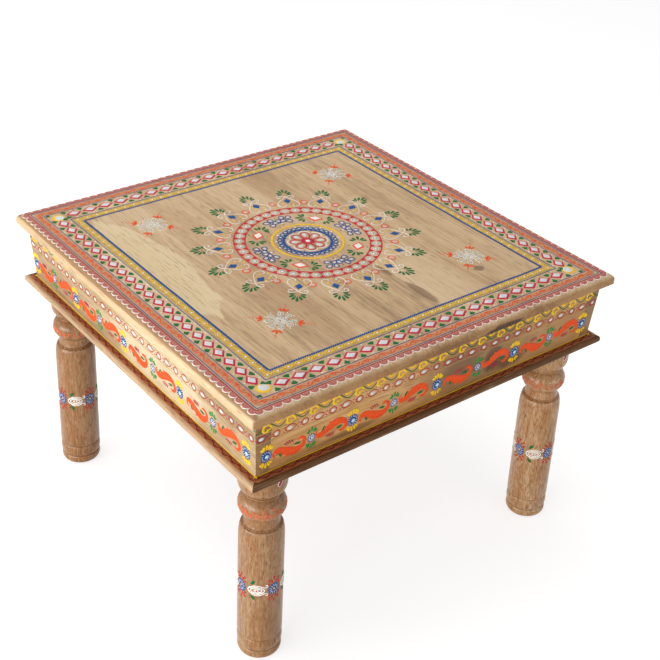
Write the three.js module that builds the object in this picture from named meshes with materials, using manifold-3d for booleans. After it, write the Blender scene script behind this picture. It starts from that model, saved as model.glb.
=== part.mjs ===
// Bajot low table in mango wood, built flat and packed with its legs off.
// Millimetres, +Z up. The origin is on the floor under the middle of the top.
// -Y is the front of the table and -X is its left side.
//
// A panel of edge-glued boards lies on a box of four apron boards, with two battens across its underside.
// A moulded strip runs round under the aprons. A wooden block stands in each corner, and a turned leg
// is held under it by a hanger bolt, with a washer and a nut on the block.

import * as THREE from "three";
import { mergeVertices } from "three/addons/utils/BufferGeometryUtils.js";
import Module from "manifold-3d";

const wasm = await Module();
wasm.setup();

// Driving dimensions of the table
const topSide = 600;
const tableHeight = 415;

// Top panel: boards side by side, rounded along all four edges
const topThickness = 16;
const boardCount = 7;
const topOverhang = 12.5;
const edgeRoundWidth = 10;
const edgeRoundDepth = 7.5;
const edgeLowerRound = 3;
const topCornerRadius = 3;

// Apron: the left and right boards run full length, the front and back boards fit between them.
// Every outer face leans out towards the top, and the thickness is that of the lower edge.
const apronHeight = 84;
const apronThickness = 18;
const apronLean = 6;
const apronCornerRadius = 1;

// Moulded strip under the aprons, mitred at the corners
const stripThickness = 11;
const stripProjection = 13.5;
const stripTopRound = 4;
const stripBottomRound = 4.5;
const mitreGap = 0.3;

// Battens under the top
const battenWidth = 50;
const battenThickness = 20;
const battenPlace = 150;

// Corner blocks and the legs' axes
const blockSide = 42;
const blockRise = 30;
const legFromApron = 18.5;

// Turned leg, measured down from its top
const legRadius = 29.3;
const ballRadius = 30.5;
const beadRadius = 31.2;
const beadTopRadius = 29.2;
const neckRadius = 22.3;
const beadHeight = 42.8;
const beadWidestDepth = 29;
const neckHeight = 2.9;
const upperRingRadius = 23.6;
const upperRingHeight = 2.3;
const ballHeight = 33;
const collarRadius = 23.8;
const collarHeight = 12;
const lowerRingRadius = 24.8;
const lowerRingHeight = 1.7;
const shoulderHeight = 21.1;
const shoulderTopRadius = 25.6;

// Turned leg, measured up from the floor
const footHeight = 14.8;
const footRadius = 28.8;
const footFaceRadius = 21;
const footWidestHeight = 8.5;
const ringHeight = 18.3;
const ringRadius = 29.3;
const grooveRadius = 25.8;
const cylinderEase = 2.9;

// Hanger bolt, its washer and its nut
const boltRadius = 4;
const boltInLeg = 45;
const boltPointHeight = 8;
const boltPastNut = 3;
const washerRadius = 8;
const washerThickness = 1.6;
const nutRadius = 7.5;
const nutHeight = 6.5;

// Round-head screws and nails
const screwRadius = 2;
const screwHeadRadius = 4;
const screwHeadHeight = 2.4;
const screwPointHeight = 6;
const blockScrewBite = 12;
const blockScrewInset = 12;
const blockScrewLowRise = 8;
const blockScrewHighRise = 22;
const battenScrewBite = 11;
const nailRadius = 1.2;
const nailHeadRadius = 2.6;
const nailHeadHeight = 0.8;
const nailPointHeight = 3;
const nailBite = 22;
const nailPlace = 150;

// Clearances and cuts
const fitClearance = 0.3;
const pointClearance = 1;
const cutOverrun = 2;

// Facets
const legSides = 24;
const boltSides = 12;
const screwSides = 8;
const nutSides = 6;
const cornerSteps = 3;
const roundSteps = 4;
const ringSteps = 5;
const collarSteps = 3;
const ballSteps = 8;

// Heights above the floor
const topUnderside = tableHeight - topThickness;
const apronBottom = topUnderside - apronHeight;
const legTop = apronBottom - stripThickness;
const blockTop = apronBottom + blockRise;

// Distances from the middle of the table
const topHalf = topSide / 2;
const apronTopFace = topHalf - topOverhang;
const apronFace = apronTopFace - apronLean;
const apronInner = apronFace - apronThickness;
const stripHalf = apronFace + stripProjection;
const stripWidth = stripHalf - apronInner;
const blockInner = apronInner - blockSide;
const legAxis = apronInner - legFromApron;
const holeRadius = boltRadius + fitClearance;

const sides = [
  { name: "left", sign: -1 },
  { name: "right", sign: 1 },
];
const ends = [
  { name: "front", sign: -1 },
  { name: "back", sign: 1 },
];

// Finishes
const oiledMango = { color: 0xb99467, roughness: 0.5, metalness: 0 };
const warmMango = { color: 0xb5854f, roughness: 0.5, metalness: 0 };
const turnedMango = { color: 0xa67a4e, roughness: 0.4, metalness: 0 };
const sawnMango = { color: 0xb08c62, roughness: 0.85, metalness: 0 };
const zincSteel = { color: 0xb8babb, roughness: 0.35, metalness: 1 };

// The shared vertices of a closed geometry are merged, so that it can be cut as a solid.
function solidFrom(geometry) {
  const bare = new THREE.BufferGeometry();
  bare.setAttribute("position", geometry.getAttribute("position"));
  bare.setIndex(geometry.getIndex());
  const merged = mergeVertices(bare);
  const mesh = new wasm.Mesh({
    numProp: 3,
    vertProperties: merged.getAttribute("position").array,
    triVerts: new Uint32Array(merged.getIndex().array),
  });
  return new wasm.Manifold(mesh);
}

function geometryFrom(solid) {
  const mesh = solid.getMesh();
  const geometry = new THREE.BufferGeometry();
  geometry.setAttribute("position", new THREE.BufferAttribute(mesh.vertProperties, 3));
  geometry.setIndex(new THREE.BufferAttribute(mesh.triVerts, 1));
  geometry.computeVertexNormals();
  return geometry;
}

// A box from its lowest to its highest corner.
function boxBetween(low, high) {
  const geometry = new THREE.BoxGeometry(high[0] - low[0], high[1] - low[1], high[2] - low[2]);
  geometry.translate((low[0] + high[0]) / 2, (low[1] + high[1]) / 2, (low[2] + high[2]) / 2);
  return geometry;
}

// A shape turned round Z from its half outline, a list of [radius, height] from the bottom up.
function turned(outline, sideCount) {
  const points = outline.map(([radius, height]) => new THREE.Vector2(radius, height));
  const geometry = new THREE.LatheGeometry(points, sideCount);
  geometry.rotateX(Math.PI / 2);
  return geometry;
}

function turnedRod(radius, low, high, sideCount) {
  return turned([[0, low], [radius, low], [radius, high], [0, high]], sideCount);
}

// Points of a quarter ellipse about [centreRadius, centreHeight], from one angle to another in quarter turns.
function arc(centreRadius, centreHeight, reach, rise, fromQuarter, toQuarter, steps) {
  return Array.from({ length: steps + 1 }, (_, i) => {
    const angle = ((fromQuarter + ((toQuarter - fromQuarter) * i) / steps) * Math.PI) / 2;
    return [centreRadius + reach * Math.cos(angle), centreHeight + rise * Math.sin(angle)];
  });
}

// One level of a square panel with rounded corners, counterclockwise seen from above.
function squareLevel(half, height, cornerRadius) {
  const centre = half - cornerRadius;
  const level = [];
  for (let corner = 0; corner < 4; corner++) {
    const turn = (corner * Math.PI) / 2;
    for (let i = 0; i <= cornerSteps; i++) {
      const angle = ((i / cornerSteps) * Math.PI) / 2;
      const x = centre + cornerRadius * Math.cos(angle);
      const y = centre + cornerRadius * Math.sin(angle);
      level.push([
        x * Math.cos(turn) - y * Math.sin(turn),
        x * Math.sin(turn) + y * Math.cos(turn),
        height,
      ]);
    }
  }
  return level;
}

// Levels of equal length joined into one closed shape, with a flat fan at each end.
function joinedLevels(levels) {
  const count = levels[0].length;
  const points = levels.flat();
  const index = [];
  for (let level = 0; level + 1 < levels.length; level++) {
    for (let i = 0; i < count; i++) {
      const a = level * count + i;
      const b = level * count + ((i + 1) % count);
      index.push(a, b, b + count, a, b + count, a + count);
    }
  }
  const last = (levels.length - 1) * count;
  for (let i = 1; i + 1 < count; i++) {
    index.push(0, i + 1, i);
    index.push(last, last + i, last + i + 1);
  }
  const geometry = new THREE.BufferGeometry();
  geometry.setAttribute("position", new THREE.Float32BufferAttribute(points.flat(), 3));
  geometry.setIndex(index);
  return geometry;
}

// Fasteners. Each points along +Z from its seat, with its head below the seat.
function fastenerOutline(radius, length, pointHeight, headRadius, headHeight) {
  return [
    [0, -headHeight],
    [(radius + headRadius) / 2, -headHeight],
    [headRadius, -headHeight / 2],
    [headRadius, 0],
    [radius, 0],
    [radius, length - pointHeight],
    [0, length],
  ];
}

const screwOutline = (length) =>
  fastenerOutline(screwRadius, length, screwPointHeight, screwHeadRadius, screwHeadHeight);
const nailOutline = (length) =>
  fastenerOutline(nailRadius, length, nailPointHeight, nailHeadRadius, nailHeadHeight);

const up = new THREE.Vector3(0, 0, 1);
const fasteners = [];

function addFastener(name, outline, radius, length, seat, direction) {
  const turn = new THREE.Quaternion().setFromUnitVectors(up, direction);
  const hole = turnedRod(radius + fitClearance, -cutOverrun, length + pointClearance, screwSides);
  hole.applyQuaternion(turn);
  hole.translate(seat.x, seat.y, seat.z);
  fasteners.push({ name, geometry: turned(outline, screwSides), turn, seat, hole: solidFrom(hole) });
}

// Two screws hold each block to its aprons, one across the other
const blockScrewLength = blockSide + blockScrewBite;
const blockScrewPlace = blockInner + blockScrewInset;
for (const side of sides) {
  for (const end of ends) {
    addFastener(
      `block_screw_x_${end.name}_${side.name}`,
      screwOutline(blockScrewLength),
      screwRadius,
      blockScrewLength,
      new THREE.Vector3(side.sign * blockInner, end.sign * blockScrewPlace, apronBottom + blockScrewLowRise),
      new THREE.Vector3(side.sign, 0, 0),
    );
    addFastener(
      `block_screw_y_${end.name}_${side.name}`,
      screwOutline(blockScrewLength),
      screwRadius,
      blockScrewLength,
      new THREE.Vector3(side.sign * blockScrewPlace, end.sign * blockInner, apronBottom + blockScrewHighRise),
      new THREE.Vector3(0, end.sign, 0),
    );
  }
}

// Three screws hold each batten to every second board of the top
const boardWidth = topSide / boardCount;
const battenScrewLength = battenThickness + battenScrewBite;
const battenUnderside = topUnderside - battenThickness;
for (const end of ends) {
  let screwNumber = 0;
  for (let board = 1; board < boardCount; board += 2) {
    screwNumber += 1;
    addFastener(
      `batten_screw_${end.name}_${screwNumber}`,
      screwOutline(battenScrewLength),
      screwRadius,
      battenScrewLength,
      new THREE.Vector3((board + 1 / 2) * boardWidth - topHalf, end.sign * battenPlace, battenUnderside),
      up,
    );
  }
}

// Two nails hold each strip up to its apron
const nailLength = stripThickness + nailBite;
const nailLine = apronFace - apronThickness / 2;
for (const side of sides) {
  for (const end of ends) {
    addFastener(
      `strip_nail_${side.name}_${end.name}`,
      nailOutline(nailLength),
      nailRadius,
      nailLength,
      new THREE.Vector3(side.sign * nailLine, end.sign * nailPlace, legTop),
      up,
    );
    addFastener(
      `strip_nail_${end.name}_${side.name}`,
      nailOutline(nailLength),
      nailRadius,
      nailLength,
      new THREE.Vector3(side.sign * nailPlace, end.sign * nailLine, legTop),
      up,
    );
  }
}

const drilled = (solid) => fasteners.reduce((left, fastener) => left.subtract(fastener.hole), solid);

// Top panel. The edge has a small round below, a short upright part and a wide round over to the top.
function topPanel() {
  const lowerCentre = topHalf - edgeLowerRound;
  const lowerHeight = topUnderside + edgeLowerRound;
  const upperCentre = topHalf - edgeRoundWidth;
  const upperHeight = tableHeight - edgeRoundDepth;
  const edge = [
    ...arc(lowerCentre, lowerHeight, edgeLowerRound, edgeLowerRound, -1, 0, roundSteps),
    ...arc(upperCentre, upperHeight, edgeRoundWidth, edgeRoundDepth, 0, 1, roundSteps),
  ];
  return solidFrom(joinedLevels(edge.map(([half, height]) => squareLevel(half, height, topCornerRadius))));
}

// Block the size of the whole apron, its four faces leaning out towards the top.
function apronBlank() {
  const levels = [
    squareLevel(apronFace, apronBottom, apronCornerRadius),
    squareLevel(apronTopFace, topUnderside, apronCornerRadius),
  ];
  return solidFrom(joinedLevels(levels));
}

// Moulded strip along the front, with both ends cut at 45 degrees.
function moulding() {
  const outline = [
    [0, 0],
    ...arc(stripWidth - stripBottomRound, stripBottomRound, stripBottomRound, stripBottomRound, -1, 0, roundSteps),
    ...arc(stripWidth - stripTopRound, stripThickness - stripTopRound, stripTopRound, stripTopRound, 0, 1, roundSteps),
    [0, stripThickness],
  ];
  const endShift = (mitreGap / 2) * Math.SQRT2;
  const levels = [1, -1].map((sign) =>
    outline.map(([reach, height]) => [
      sign * (apronInner + reach - endShift),
      -(apronInner + reach),
      legTop + height,
    ]),
  );
  return joinedLevels(levels);
}

// Half outline of the leg, from the middle of its foot up to its top, and down again along the bolt hole.
function legOutline() {
  const holeDepth = boltInLeg + pointClearance;
  const ringTop = footHeight + ringHeight;
  const beadBottom = legTop - beadHeight;
  const upperRingTop = beadBottom - neckHeight;
  const ballTop = upperRingTop - upperRingHeight;
  const ballMiddle = ballTop - ballHeight / 2;
  const ballBottom = ballTop - ballHeight;
  const collarBottom = ballBottom - collarHeight;
  const shoulderTop = collarBottom - lowerRingHeight;
  const shoulderBottom = shoulderTop - shoulderHeight;
  const ballEnd = Math.acos(neckRadius / ballRadius);
  const ballRise = ballHeight / 2 / Math.sin(ballEnd);
  const ballQuarter = (ballEnd * 2) / Math.PI;
  const beadMiddle = legTop - beadWidestDepth;
  const beadDrop = beadMiddle - beadBottom;
  const footDrop = footHeight - footWidestHeight;
  return [
    [0, 0],
    ...arc(footFaceRadius, footWidestHeight, footRadius - footFaceRadius, footWidestHeight, -1, 0, roundSteps),
    ...arc(grooveRadius, footWidestHeight, footRadius - grooveRadius, footDrop, 0, 1, roundSteps).slice(1),
    ...arc(grooveRadius, footHeight + ringHeight / 2, ringRadius - grooveRadius, ringHeight / 2, -1, 1, ringSteps).slice(1),
    [legRadius, ringTop + cylinderEase],
    ...arc(shoulderTopRadius, shoulderBottom, legRadius - shoulderTopRadius, shoulderHeight, 0, 1, roundSteps),
    [lowerRingRadius, shoulderTop],
    [lowerRingRadius, collarBottom],
    ...arc(collarRadius, ballBottom, neckRadius - collarRadius, -collarHeight, 1, 0, collarSteps),
    ...arc(0, ballMiddle, ballRadius, ballRise, -ballQuarter, ballQuarter, ballSteps).slice(1),
    [upperRingRadius, ballTop],
    [upperRingRadius, upperRingTop],
    [neckRadius, upperRingTop],
    ...arc(neckRadius, beadMiddle, beadRadius - neckRadius, beadDrop, -1, 0, roundSteps),
    ...arc(beadTopRadius, beadMiddle, beadRadius - beadTopRadius, beadWidestDepth, 0, 1, roundSteps).slice(1),
    [holeRadius, legTop],
    [holeRadius, legTop - holeDepth],
    [0, legTop - holeDepth],
  ];
}

const boltTop = blockTop + washerThickness + nutHeight + boltPastNut;

function boltOutline() {
  const point = legTop - boltInLeg;
  return [
    [0, point],
    [boltRadius, point + boltPointHeight],
    [boltRadius, boltTop - boltPastNut / 2],
    [boltRadius - boltPastNut / 2, boltTop],
    [0, boltTop],
  ];
}

function washerOutline() {
  return [
    [holeRadius, 0],
    [washerRadius, 0],
    [washerRadius, washerThickness],
    [holeRadius, washerThickness],
    [holeRadius, 0],
  ];
}

function nutGeometry() {
  const blank = turned([[0, 0], [nutRadius, 0], [nutRadius, nutHeight], [0, nutHeight]], nutSides);
  const bore = turnedRod(holeRadius, -cutOverrun, nutHeight + cutOverrun, boltSides);
  return geometryFrom(solidFrom(blank).subtract(solidFrom(bore)));
}

const table = new THREE.Group();
table.name = "bajot_low_table";

function place(parent, name, geometry, finish, position = new THREE.Vector3(), turn = new THREE.Quaternion()) {
  const mesh = new THREE.Mesh(geometry, new THREE.MeshStandardMaterial(finish));
  mesh.name = name;
  mesh.position.copy(position);
  mesh.quaternion.copy(turn);
  parent.add(mesh);
  return mesh;
}

// The top's boards are cut from one moulded panel, side by side from left to right
const panel = drilled(topPanel());
for (let board = 0; board < boardCount; board++) {
  const leftEdge = board * boardWidth - topHalf;
  const slice = boxBetween(
    [leftEdge, -topHalf - cutOverrun, topUnderside - cutOverrun],
    [leftEdge + boardWidth, topHalf + cutOverrun, tableHeight + cutOverrun],
  );
  place(table, `top_board_${board + 1}`, geometryFrom(panel.intersect(solidFrom(slice))), oiledMango);
}

// Battens
for (const end of ends) {
  const middle = end.sign * battenPlace;
  const batten = boxBetween(
    [-apronInner, middle - battenWidth / 2, battenUnderside],
    [apronInner, middle + battenWidth / 2, topUnderside],
  );
  place(table, `batten_${end.name}`, geometryFrom(drilled(solidFrom(batten))), sawnMango);
}

// Apron boards, each the part of the blank that lies outside its inner face
const blank = drilled(apronBlank());
const apronReach = apronTopFace + cutOverrun;
for (const side of sides) {
  const faces = [side.sign * apronReach, side.sign * apronInner].sort((a, b) => a - b);
  const board = boxBetween([faces[0], -apronReach, apronBottom], [faces[1], apronReach, topUnderside]);
  place(table, `apron_${side.name}`, geometryFrom(blank.intersect(solidFrom(board))), warmMango);
}
for (const end of ends) {
  const faces = [end.sign * apronReach, end.sign * apronInner].sort((a, b) => a - b);
  const board = boxBetween([-apronInner, faces[0], apronBottom], [apronInner, faces[1], topUnderside]);
  place(table, `apron_${end.name}`, geometryFrom(blank.intersect(solidFrom(board))), warmMango);
}

// Moulded strips, one for each side, turned a quarter from the one before
["front", "right", "back", "left"].forEach((name, quarter) => {
  const strip = moulding();
  strip.rotateZ((quarter * Math.PI) / 2);
  place(table, `moulding_${name}`, geometryFrom(drilled(solidFrom(strip))), warmMango);
});

// Corners: block, leg, bolt, washer and nut
for (const side of sides) {
  for (const end of ends) {
    const corner = `${end.name}_${side.name}`;
    const axis = new THREE.Vector3(side.sign * legAxis, end.sign * legAxis, 0);
    const across = [side.sign * blockInner, side.sign * apronInner].sort((a, b) => a - b);
    const along = [end.sign * blockInner, end.sign * apronInner].sort((a, b) => a - b);
    const boltHole = turnedRod(holeRadius, legTop - cutOverrun, blockTop + cutOverrun, boltSides);
    boltHole.translate(axis.x, axis.y, 0);
    const block = solidFrom(boxBetween([across[0], along[0], legTop], [across[1], along[1], blockTop]));
    place(table, `corner_block_${corner}`, geometryFrom(drilled(block).subtract(solidFrom(boltHole))), sawnMango);

    const stack = new THREE.Group();
    stack.position.copy(axis);
    table.add(stack);
    const washerSeat = new THREE.Vector3(0, 0, blockTop);
    const nutSeat = new THREE.Vector3(0, 0, blockTop + washerThickness);
    place(stack, `leg_${corner}`, turned(legOutline(), legSides), turnedMango);
    place(stack, `hanger_bolt_${corner}`, turned(boltOutline(), boltSides), zincSteel);
    place(stack, `washer_${corner}`, turned(washerOutline(), boltSides), zincSteel, washerSeat);
    place(stack, `nut_${corner}`, nutGeometry(), zincSteel, nutSeat);
  }
}

// Screws and nails
for (const fastener of fasteners) {
  place(table, fastener.name, fastener.geometry, zincSteel, fastener.seat, fastener.turn);
}

export default table;
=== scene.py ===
import math

import bmesh
import bpy
import numpy as np
from bpy.props import FloatProperty, FloatVectorProperty, IntProperty, PointerProperty
from mathutils import Matrix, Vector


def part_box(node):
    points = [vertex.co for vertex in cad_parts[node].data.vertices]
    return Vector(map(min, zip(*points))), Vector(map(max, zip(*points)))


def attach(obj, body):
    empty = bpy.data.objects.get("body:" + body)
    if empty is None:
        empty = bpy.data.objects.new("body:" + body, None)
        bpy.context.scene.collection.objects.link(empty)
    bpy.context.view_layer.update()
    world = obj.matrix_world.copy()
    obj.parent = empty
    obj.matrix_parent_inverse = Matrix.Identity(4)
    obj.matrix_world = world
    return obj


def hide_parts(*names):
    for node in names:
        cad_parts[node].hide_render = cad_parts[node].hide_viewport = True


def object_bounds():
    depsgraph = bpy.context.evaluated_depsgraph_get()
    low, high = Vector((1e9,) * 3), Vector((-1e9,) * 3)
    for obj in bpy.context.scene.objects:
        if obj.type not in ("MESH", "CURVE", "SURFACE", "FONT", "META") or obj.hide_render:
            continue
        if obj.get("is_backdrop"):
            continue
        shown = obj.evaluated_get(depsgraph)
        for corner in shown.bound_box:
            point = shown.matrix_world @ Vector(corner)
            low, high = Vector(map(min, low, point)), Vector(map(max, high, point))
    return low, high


bl_info = {
    "name": "Hand-painted low table",
    "version": (1, 0, 0),
    "blender": (4, 5, 0),
    "location": "3D View > Sidebar > Low table",
    "description": "Dresses the low table: fine wood pieces, raised paint, studio and camera",
    "category": "Object",
}

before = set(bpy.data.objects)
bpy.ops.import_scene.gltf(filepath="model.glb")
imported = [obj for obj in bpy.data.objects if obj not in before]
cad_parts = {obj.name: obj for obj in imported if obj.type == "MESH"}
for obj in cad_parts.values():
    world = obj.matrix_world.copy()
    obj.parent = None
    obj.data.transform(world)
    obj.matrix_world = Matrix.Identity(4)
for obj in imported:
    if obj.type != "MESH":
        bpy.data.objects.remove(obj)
CAD_LOW, CAD_HIGH = (tuple(corner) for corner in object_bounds())
MM = 0.001
SIDES = ("front", "right", "back", "left")
CORNERS = {"front_left": (-1, -1), "front_right": (1, -1), "back_right": (1, 1), "back_left": (-1, 1)}
BOARDS = sorted(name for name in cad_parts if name.startswith("top_board_"))

# Camera: turn, tilt and roll in degrees, place in metres, focal length and photo width in pixels, sensor in mm
CAMERA_ANGLES = (-38.768, 28.188, 2.833)
CAMERA_PLACE = (-0.966424, -1.250644, 1.261816)
CAMERA_SHIFT = -0.13
FOCAL_PIXELS, PHOTO_PIXELS, SENSOR_WIDTH = 1284.633, 660, 36
# Soft lamps: watts, width, height, place, and the point that each one faces
LAMPS = {
    "window_left": (48.0, 2.2, 0.6, (-2.2, -0.15, 0.36), (0, 0, 0.24)),
    "overhead": (30.0, 2.0, 2.0, (-0.3, 0.7, 2.3), (0, 0, 0.35)),
    "fill_front": (18.0, 2.4, 0.6, (0.5, -2.4, 0.2), (0, 0, 0.25)),
    "highlight": (2.4, 0.4, 0.4, (-1.5, -1.0, 2.1), (0, 0, 0.2)),
}
FLOOR_REACH = 8000.0
FLOOR_GLOW = 0.72
WORLD_LIGHT = 0.384

# Patches laid over the wood's colour, some of them painted light or shade as noted: middle and reach in millimetres,
# colour, strength, softness of the edge
TOP_MARKS = (
    ((-212, 58, 415), (40, 146, 400), "#dac49c", 0.85, 0.08),
    ((-212, 58, 415), (20, 115, 400), "#d2b98e", 0.5, 0.4),
    ((-118, -150, 415), (34, 110, 400), "#a58260", 0.5, 0.5),
    ((-115, 60, 415), (30, 150, 400), "#b08c66", 0.4, 0.5),
    ((45, -190, 415), (7, 30, 400), "#6f5138", 0.7, 0.4),
    ((40, -118, 415), (4, 16, 400), "#6f5138", 0.7, 0.4),
    ((153, -183, 415), (8, 7, 400), "#6a4f3a", 0.7, 0.4),
    # Darker patches low on the front edge of the top
    ((91, -300, 401), (36, 12, 7), "#3f2d20", 0.9, 0.4),
    ((-20, -300, 403), (60, 12, 5), "#84633f", 0.5, 0.5),
    # Painted shade: the left edge of the top is darker, to hold back the light of the left lamp on it
    ((-296, 0, 416), (12, 420, 6), "#94714c", 0.85, 0.4),
    ((60, 200, 415), (24, 110, 400), "#a5815a", 0.45, 0.5),
)
FRAME_MARKS = {
    "front": (
        ((-279, -284, 352), (9, 60, 66), "#5d432c", 0.8, 0.25),
        ((64, -284, 350), (100, 60, 46), "#87643f", 0.75, 0.5),
        ((36, -284, 350), (34, 60, 20), "#6b4d34", 0.65, 0.6),
        ((92, -284, 345), (15, 60, 20), "#4f3827", 0.8, 0.5),
        ((128, -284, 332), (30, 60, 11), "#573e2a", 0.75, 0.5),
        ((-140, -284, 324.5), (40, 60, 4.5), "#6d4f33", 0.6, 0.5),
        ((205, -284, 341), (70, 60, 44), "#9c7449", 0.5, 0.5),
    ),
    "right": (),
    "back": (((60, 284, 347), (50, 60, 24), "#7c5b3b", 0.6, 0.5),),
    "left": (
        # Painted glare: a pale patch in the middle of the left board, where light shines off its face
        ((-284, -70, 358), (60, 105, 78), "#cdbb9b", 0.85, 0.5),
        ((-284, -225, 365.5), (60, 26, 13), "#8f7355", 0.5, 0.5),
        ((-284, 235, 341), (60, 70, 33), "#98795a", 0.4, 0.5),
    ),
}
# The two left legs made darker: partly a darker wood, partly painted shade that holds back the lamps' light on them
LEG_MARKS = (((-245, 0, 140), (90, 420, 330), "#6b4c30", 0.34, 0.5),)
BOARD_TONES = (0.08, 0.06, 0.0, -0.05, 0.05, 0.0, 0.04)

# How thick a coat of paint is, and how far below the wood's surface its skin starts
COAT = 0.42
SUNK = -0.12
# The mandala is drawn a little larger than it was measured
TOP_SCALE = 1.007
MANDALA_MIDDLE = np.array([3.3, 6.5])
# Heights of a frame board and of a leg in the drawings of their paint, which are stretched to the wood
BOARD_DRAWING = 75.5
LEG_DRAWING = 266.5
LEG_RADIUS = 29.3
LEG_GIRTH = math.tau * LEG_RADIUS
LEG_BAND_HEIGHT = 105.0
# Middles of the flowers with yellow fans, of those with green fans, and of the scrolls, as painted
FLOWER_HEIGHT = 23.3
SCROLL_HEIGHT = 23.2
MAIN_BAND = (
    (
        (-268.4, -140.9, -4.9, 132.5, 263.1),
        (-203.4, -76.0, 66.1, 199.1),
        (-235.4, -173.3, -106.6, -44.0, 32.0, 98.2, 168.8, 231.4),
    ),
    (
        (-273.4, -154.9, -22.0, 118.0, 264.6),
        (-218.4, -87.0, 53.4, 193.3),
        (-246.6, -186.0, -120.6, -55.0, 15.5, 84.5, 158.0, 228.5),
    ),
)


def linear(hex_colour):
    """sRGB hex to linear: a straight part below 0.04045 and a 2.4 power curve above it."""
    parts = np.array([int(hex_colour[at : at + 2], 16) for at in (1, 3, 5)]) / 255
    curve = ((parts + 0.055) / 1.055) ** 2.4
    return tuple(float(part) for part in np.where(parts <= 0.04045, parts / 12.92, curve))


def size(name, description, millimetres):
    """A length that a user may change."""
    return FloatProperty(name=name, description=description, default=millimetres * MM, unit="LENGTH", precision=5)


def colour(name, description, hex_colour):
    """A colour that a user may change."""
    return FloatVectorProperty(
        name=name, description=description, default=linear(hex_colour), subtype="COLOR", size=3, min=0, max=1
    )


def repeats(name, description, number, least=1):
    """A count that a user may change."""
    return IntProperty(name=name, description=description, default=number, min=least)


class TableSizes(bpy.types.PropertyGroup):
    """Sizes of the fine wood pieces, which follow the CAD part."""

    top_half: size("Half of the top", "From the middle of the top to its edge", CAD_HIGH[0] / MM)
    height: size("Height", "From the floor to the table top", CAD_HIGH[2] / MM)
    relief: size("Paint relief", "How far the thickest paint stands above the wood", 0.6)
    nose_height: size("Edge middle", "Height at which the top's upper round begins", 407.5)
    round_width: size("Edge round width", "How far in the top's upper edge is rounded", 10)
    lower_round: size("Lower edge round", "Radius of the top's lower edge", 3)
    underside: size("Top underside", "Height of the underside of the top", 399)
    corner_round: size("Corner round", "Radius of the top's corners seen from above", 3)
    apron_face: size("Frame foot", "From the middle to the lower edge of a frame board's face", 281.5)
    apron_top_face: size("Frame head", "From the middle to the upper edge of a frame board's face", 287.5)
    apron_inner: size("Frame inside", "From the middle to the inner face of a frame board", 263.5)
    apron_bottom: size("Frame bottom", "Height of the lower edge of the frame boards", 315)
    strip_half: size("Strip outer edge", "From the middle to the outer edge of the base strip", 295)
    strip_bottom: size("Strip bottom", "Height of the underside of the base strip", 304)
    strip_top_round: size("Strip top round", "Radius of the strip's upper outer edge", 4)
    strip_bottom_round: size("Strip bottom round", "Radius of the strip's lower outer edge", 4.5)
    leg_axis: size("Leg axis", "From the middle to a leg's axis along each side", 245)
    board_ease: size("Board ease", "How far the edges of the frame boards are eased", 0.8)


class TableColours(bpy.types.PropertyGroup):
    """Colours of the wood and of each paint."""

    top_wood: colour("Top wood", "Main colour of the top's boards", "#c6a67f")
    frame_wood: colour("Frame wood", "Main colour of the front and back frame boards", "#c4935a")
    # Partly paler wood, partly painted sheen: the left and right boards are greyer than the front and back, for the
    # glare on the lit left face
    side_wood: colour("Side wood", "Main colour of the left and right frame boards", "#ae9572")
    strip_wood: colour("Strip wood", "Main colour of the left and right base strips", "#b09170")
    # Painted shade: the front and back base strips take a darker copy of the strip wood
    strip_dark: colour("Dark strip wood", "Main colour of the front and back base strips", "#654325")
    leg_wood: colour("Leg wood", "Main colour of the turned legs", "#9c6a3a")
    inner_wood: colour("Inner wood", "Main colour of the sawn battens and blocks", "#b99468")
    sapwood: colour("Sapwood", "Pale streaks in every board", "#ead6b2")
    crimson: colour("Crimson", "Diamonds, heart flower and ring of the top, dots on the legs", "#c4203f")
    wine: colour("Wine red", "Ovals and thin sprigs of the frame boards", "#a93142")
    maroon: colour("Maroon", "Line and arcs round the top, leaves on the legs", "#96303a")
    maroon_dark: colour("Dark maroon", "Vine of the base strip", "#6e1a20")
    rose: colour("Rose", "Ground of the scallops, middles of the orange rings", "#cb8676")
    orange: colour("Orange", "Scrolls of the frame, rings and small sprigs of the top", "#e8501c")
    coral: colour("Coral", "Vine of the orange band", "#d9592c")
    tan: colour("Orange wash", "Thin ground under the orange vine", "#c98d66")
    yellow: colour("Yellow", "Fans, blossoms and lines", "#f2c41e")
    rust: colour("Rust wash", "Thin ground on the base strip", "#a0603c")
    ochre: colour("Ochre wash", "Thin ground of the yellow band, lines of the frame", "#bd9c60")
    umber: colour("Umber", "Rings inside the beads", "#8f7a55")
    green: colour("Green", "Leaves and vines", "#0c6430")
    leaf_green: colour("Leaf green", "Fans of the frame boards", "#2f8740")
    royal: colour("Royal blue", "Flowers, diamonds and the rope line", "#0a4c8c")
    sky: colour("Sky blue", "Middles of the blue flowers and loops", "#b5dcf0")
    fan_red: colour("Fan red", "Fans on the legs", "#b4322f")
    garland: colour("Garland", "Garland of the balls", "#c46844")
    flower_blue: colour("Flower blue", "Petals on the legs", "#275596")
    slate: colour("Slate blue", "Thin border lines, small flowers of the frame", "#40588c")
    white: colour("White", "Scrolls, dots and outlines", "#f3efe8")
    silver: colour("Silver", "Fillings of the diamonds, petals and beads", "#dadadb")
    pewter: colour("Pewter", "Petals of the rosettes", "#b3b1a2")


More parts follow.
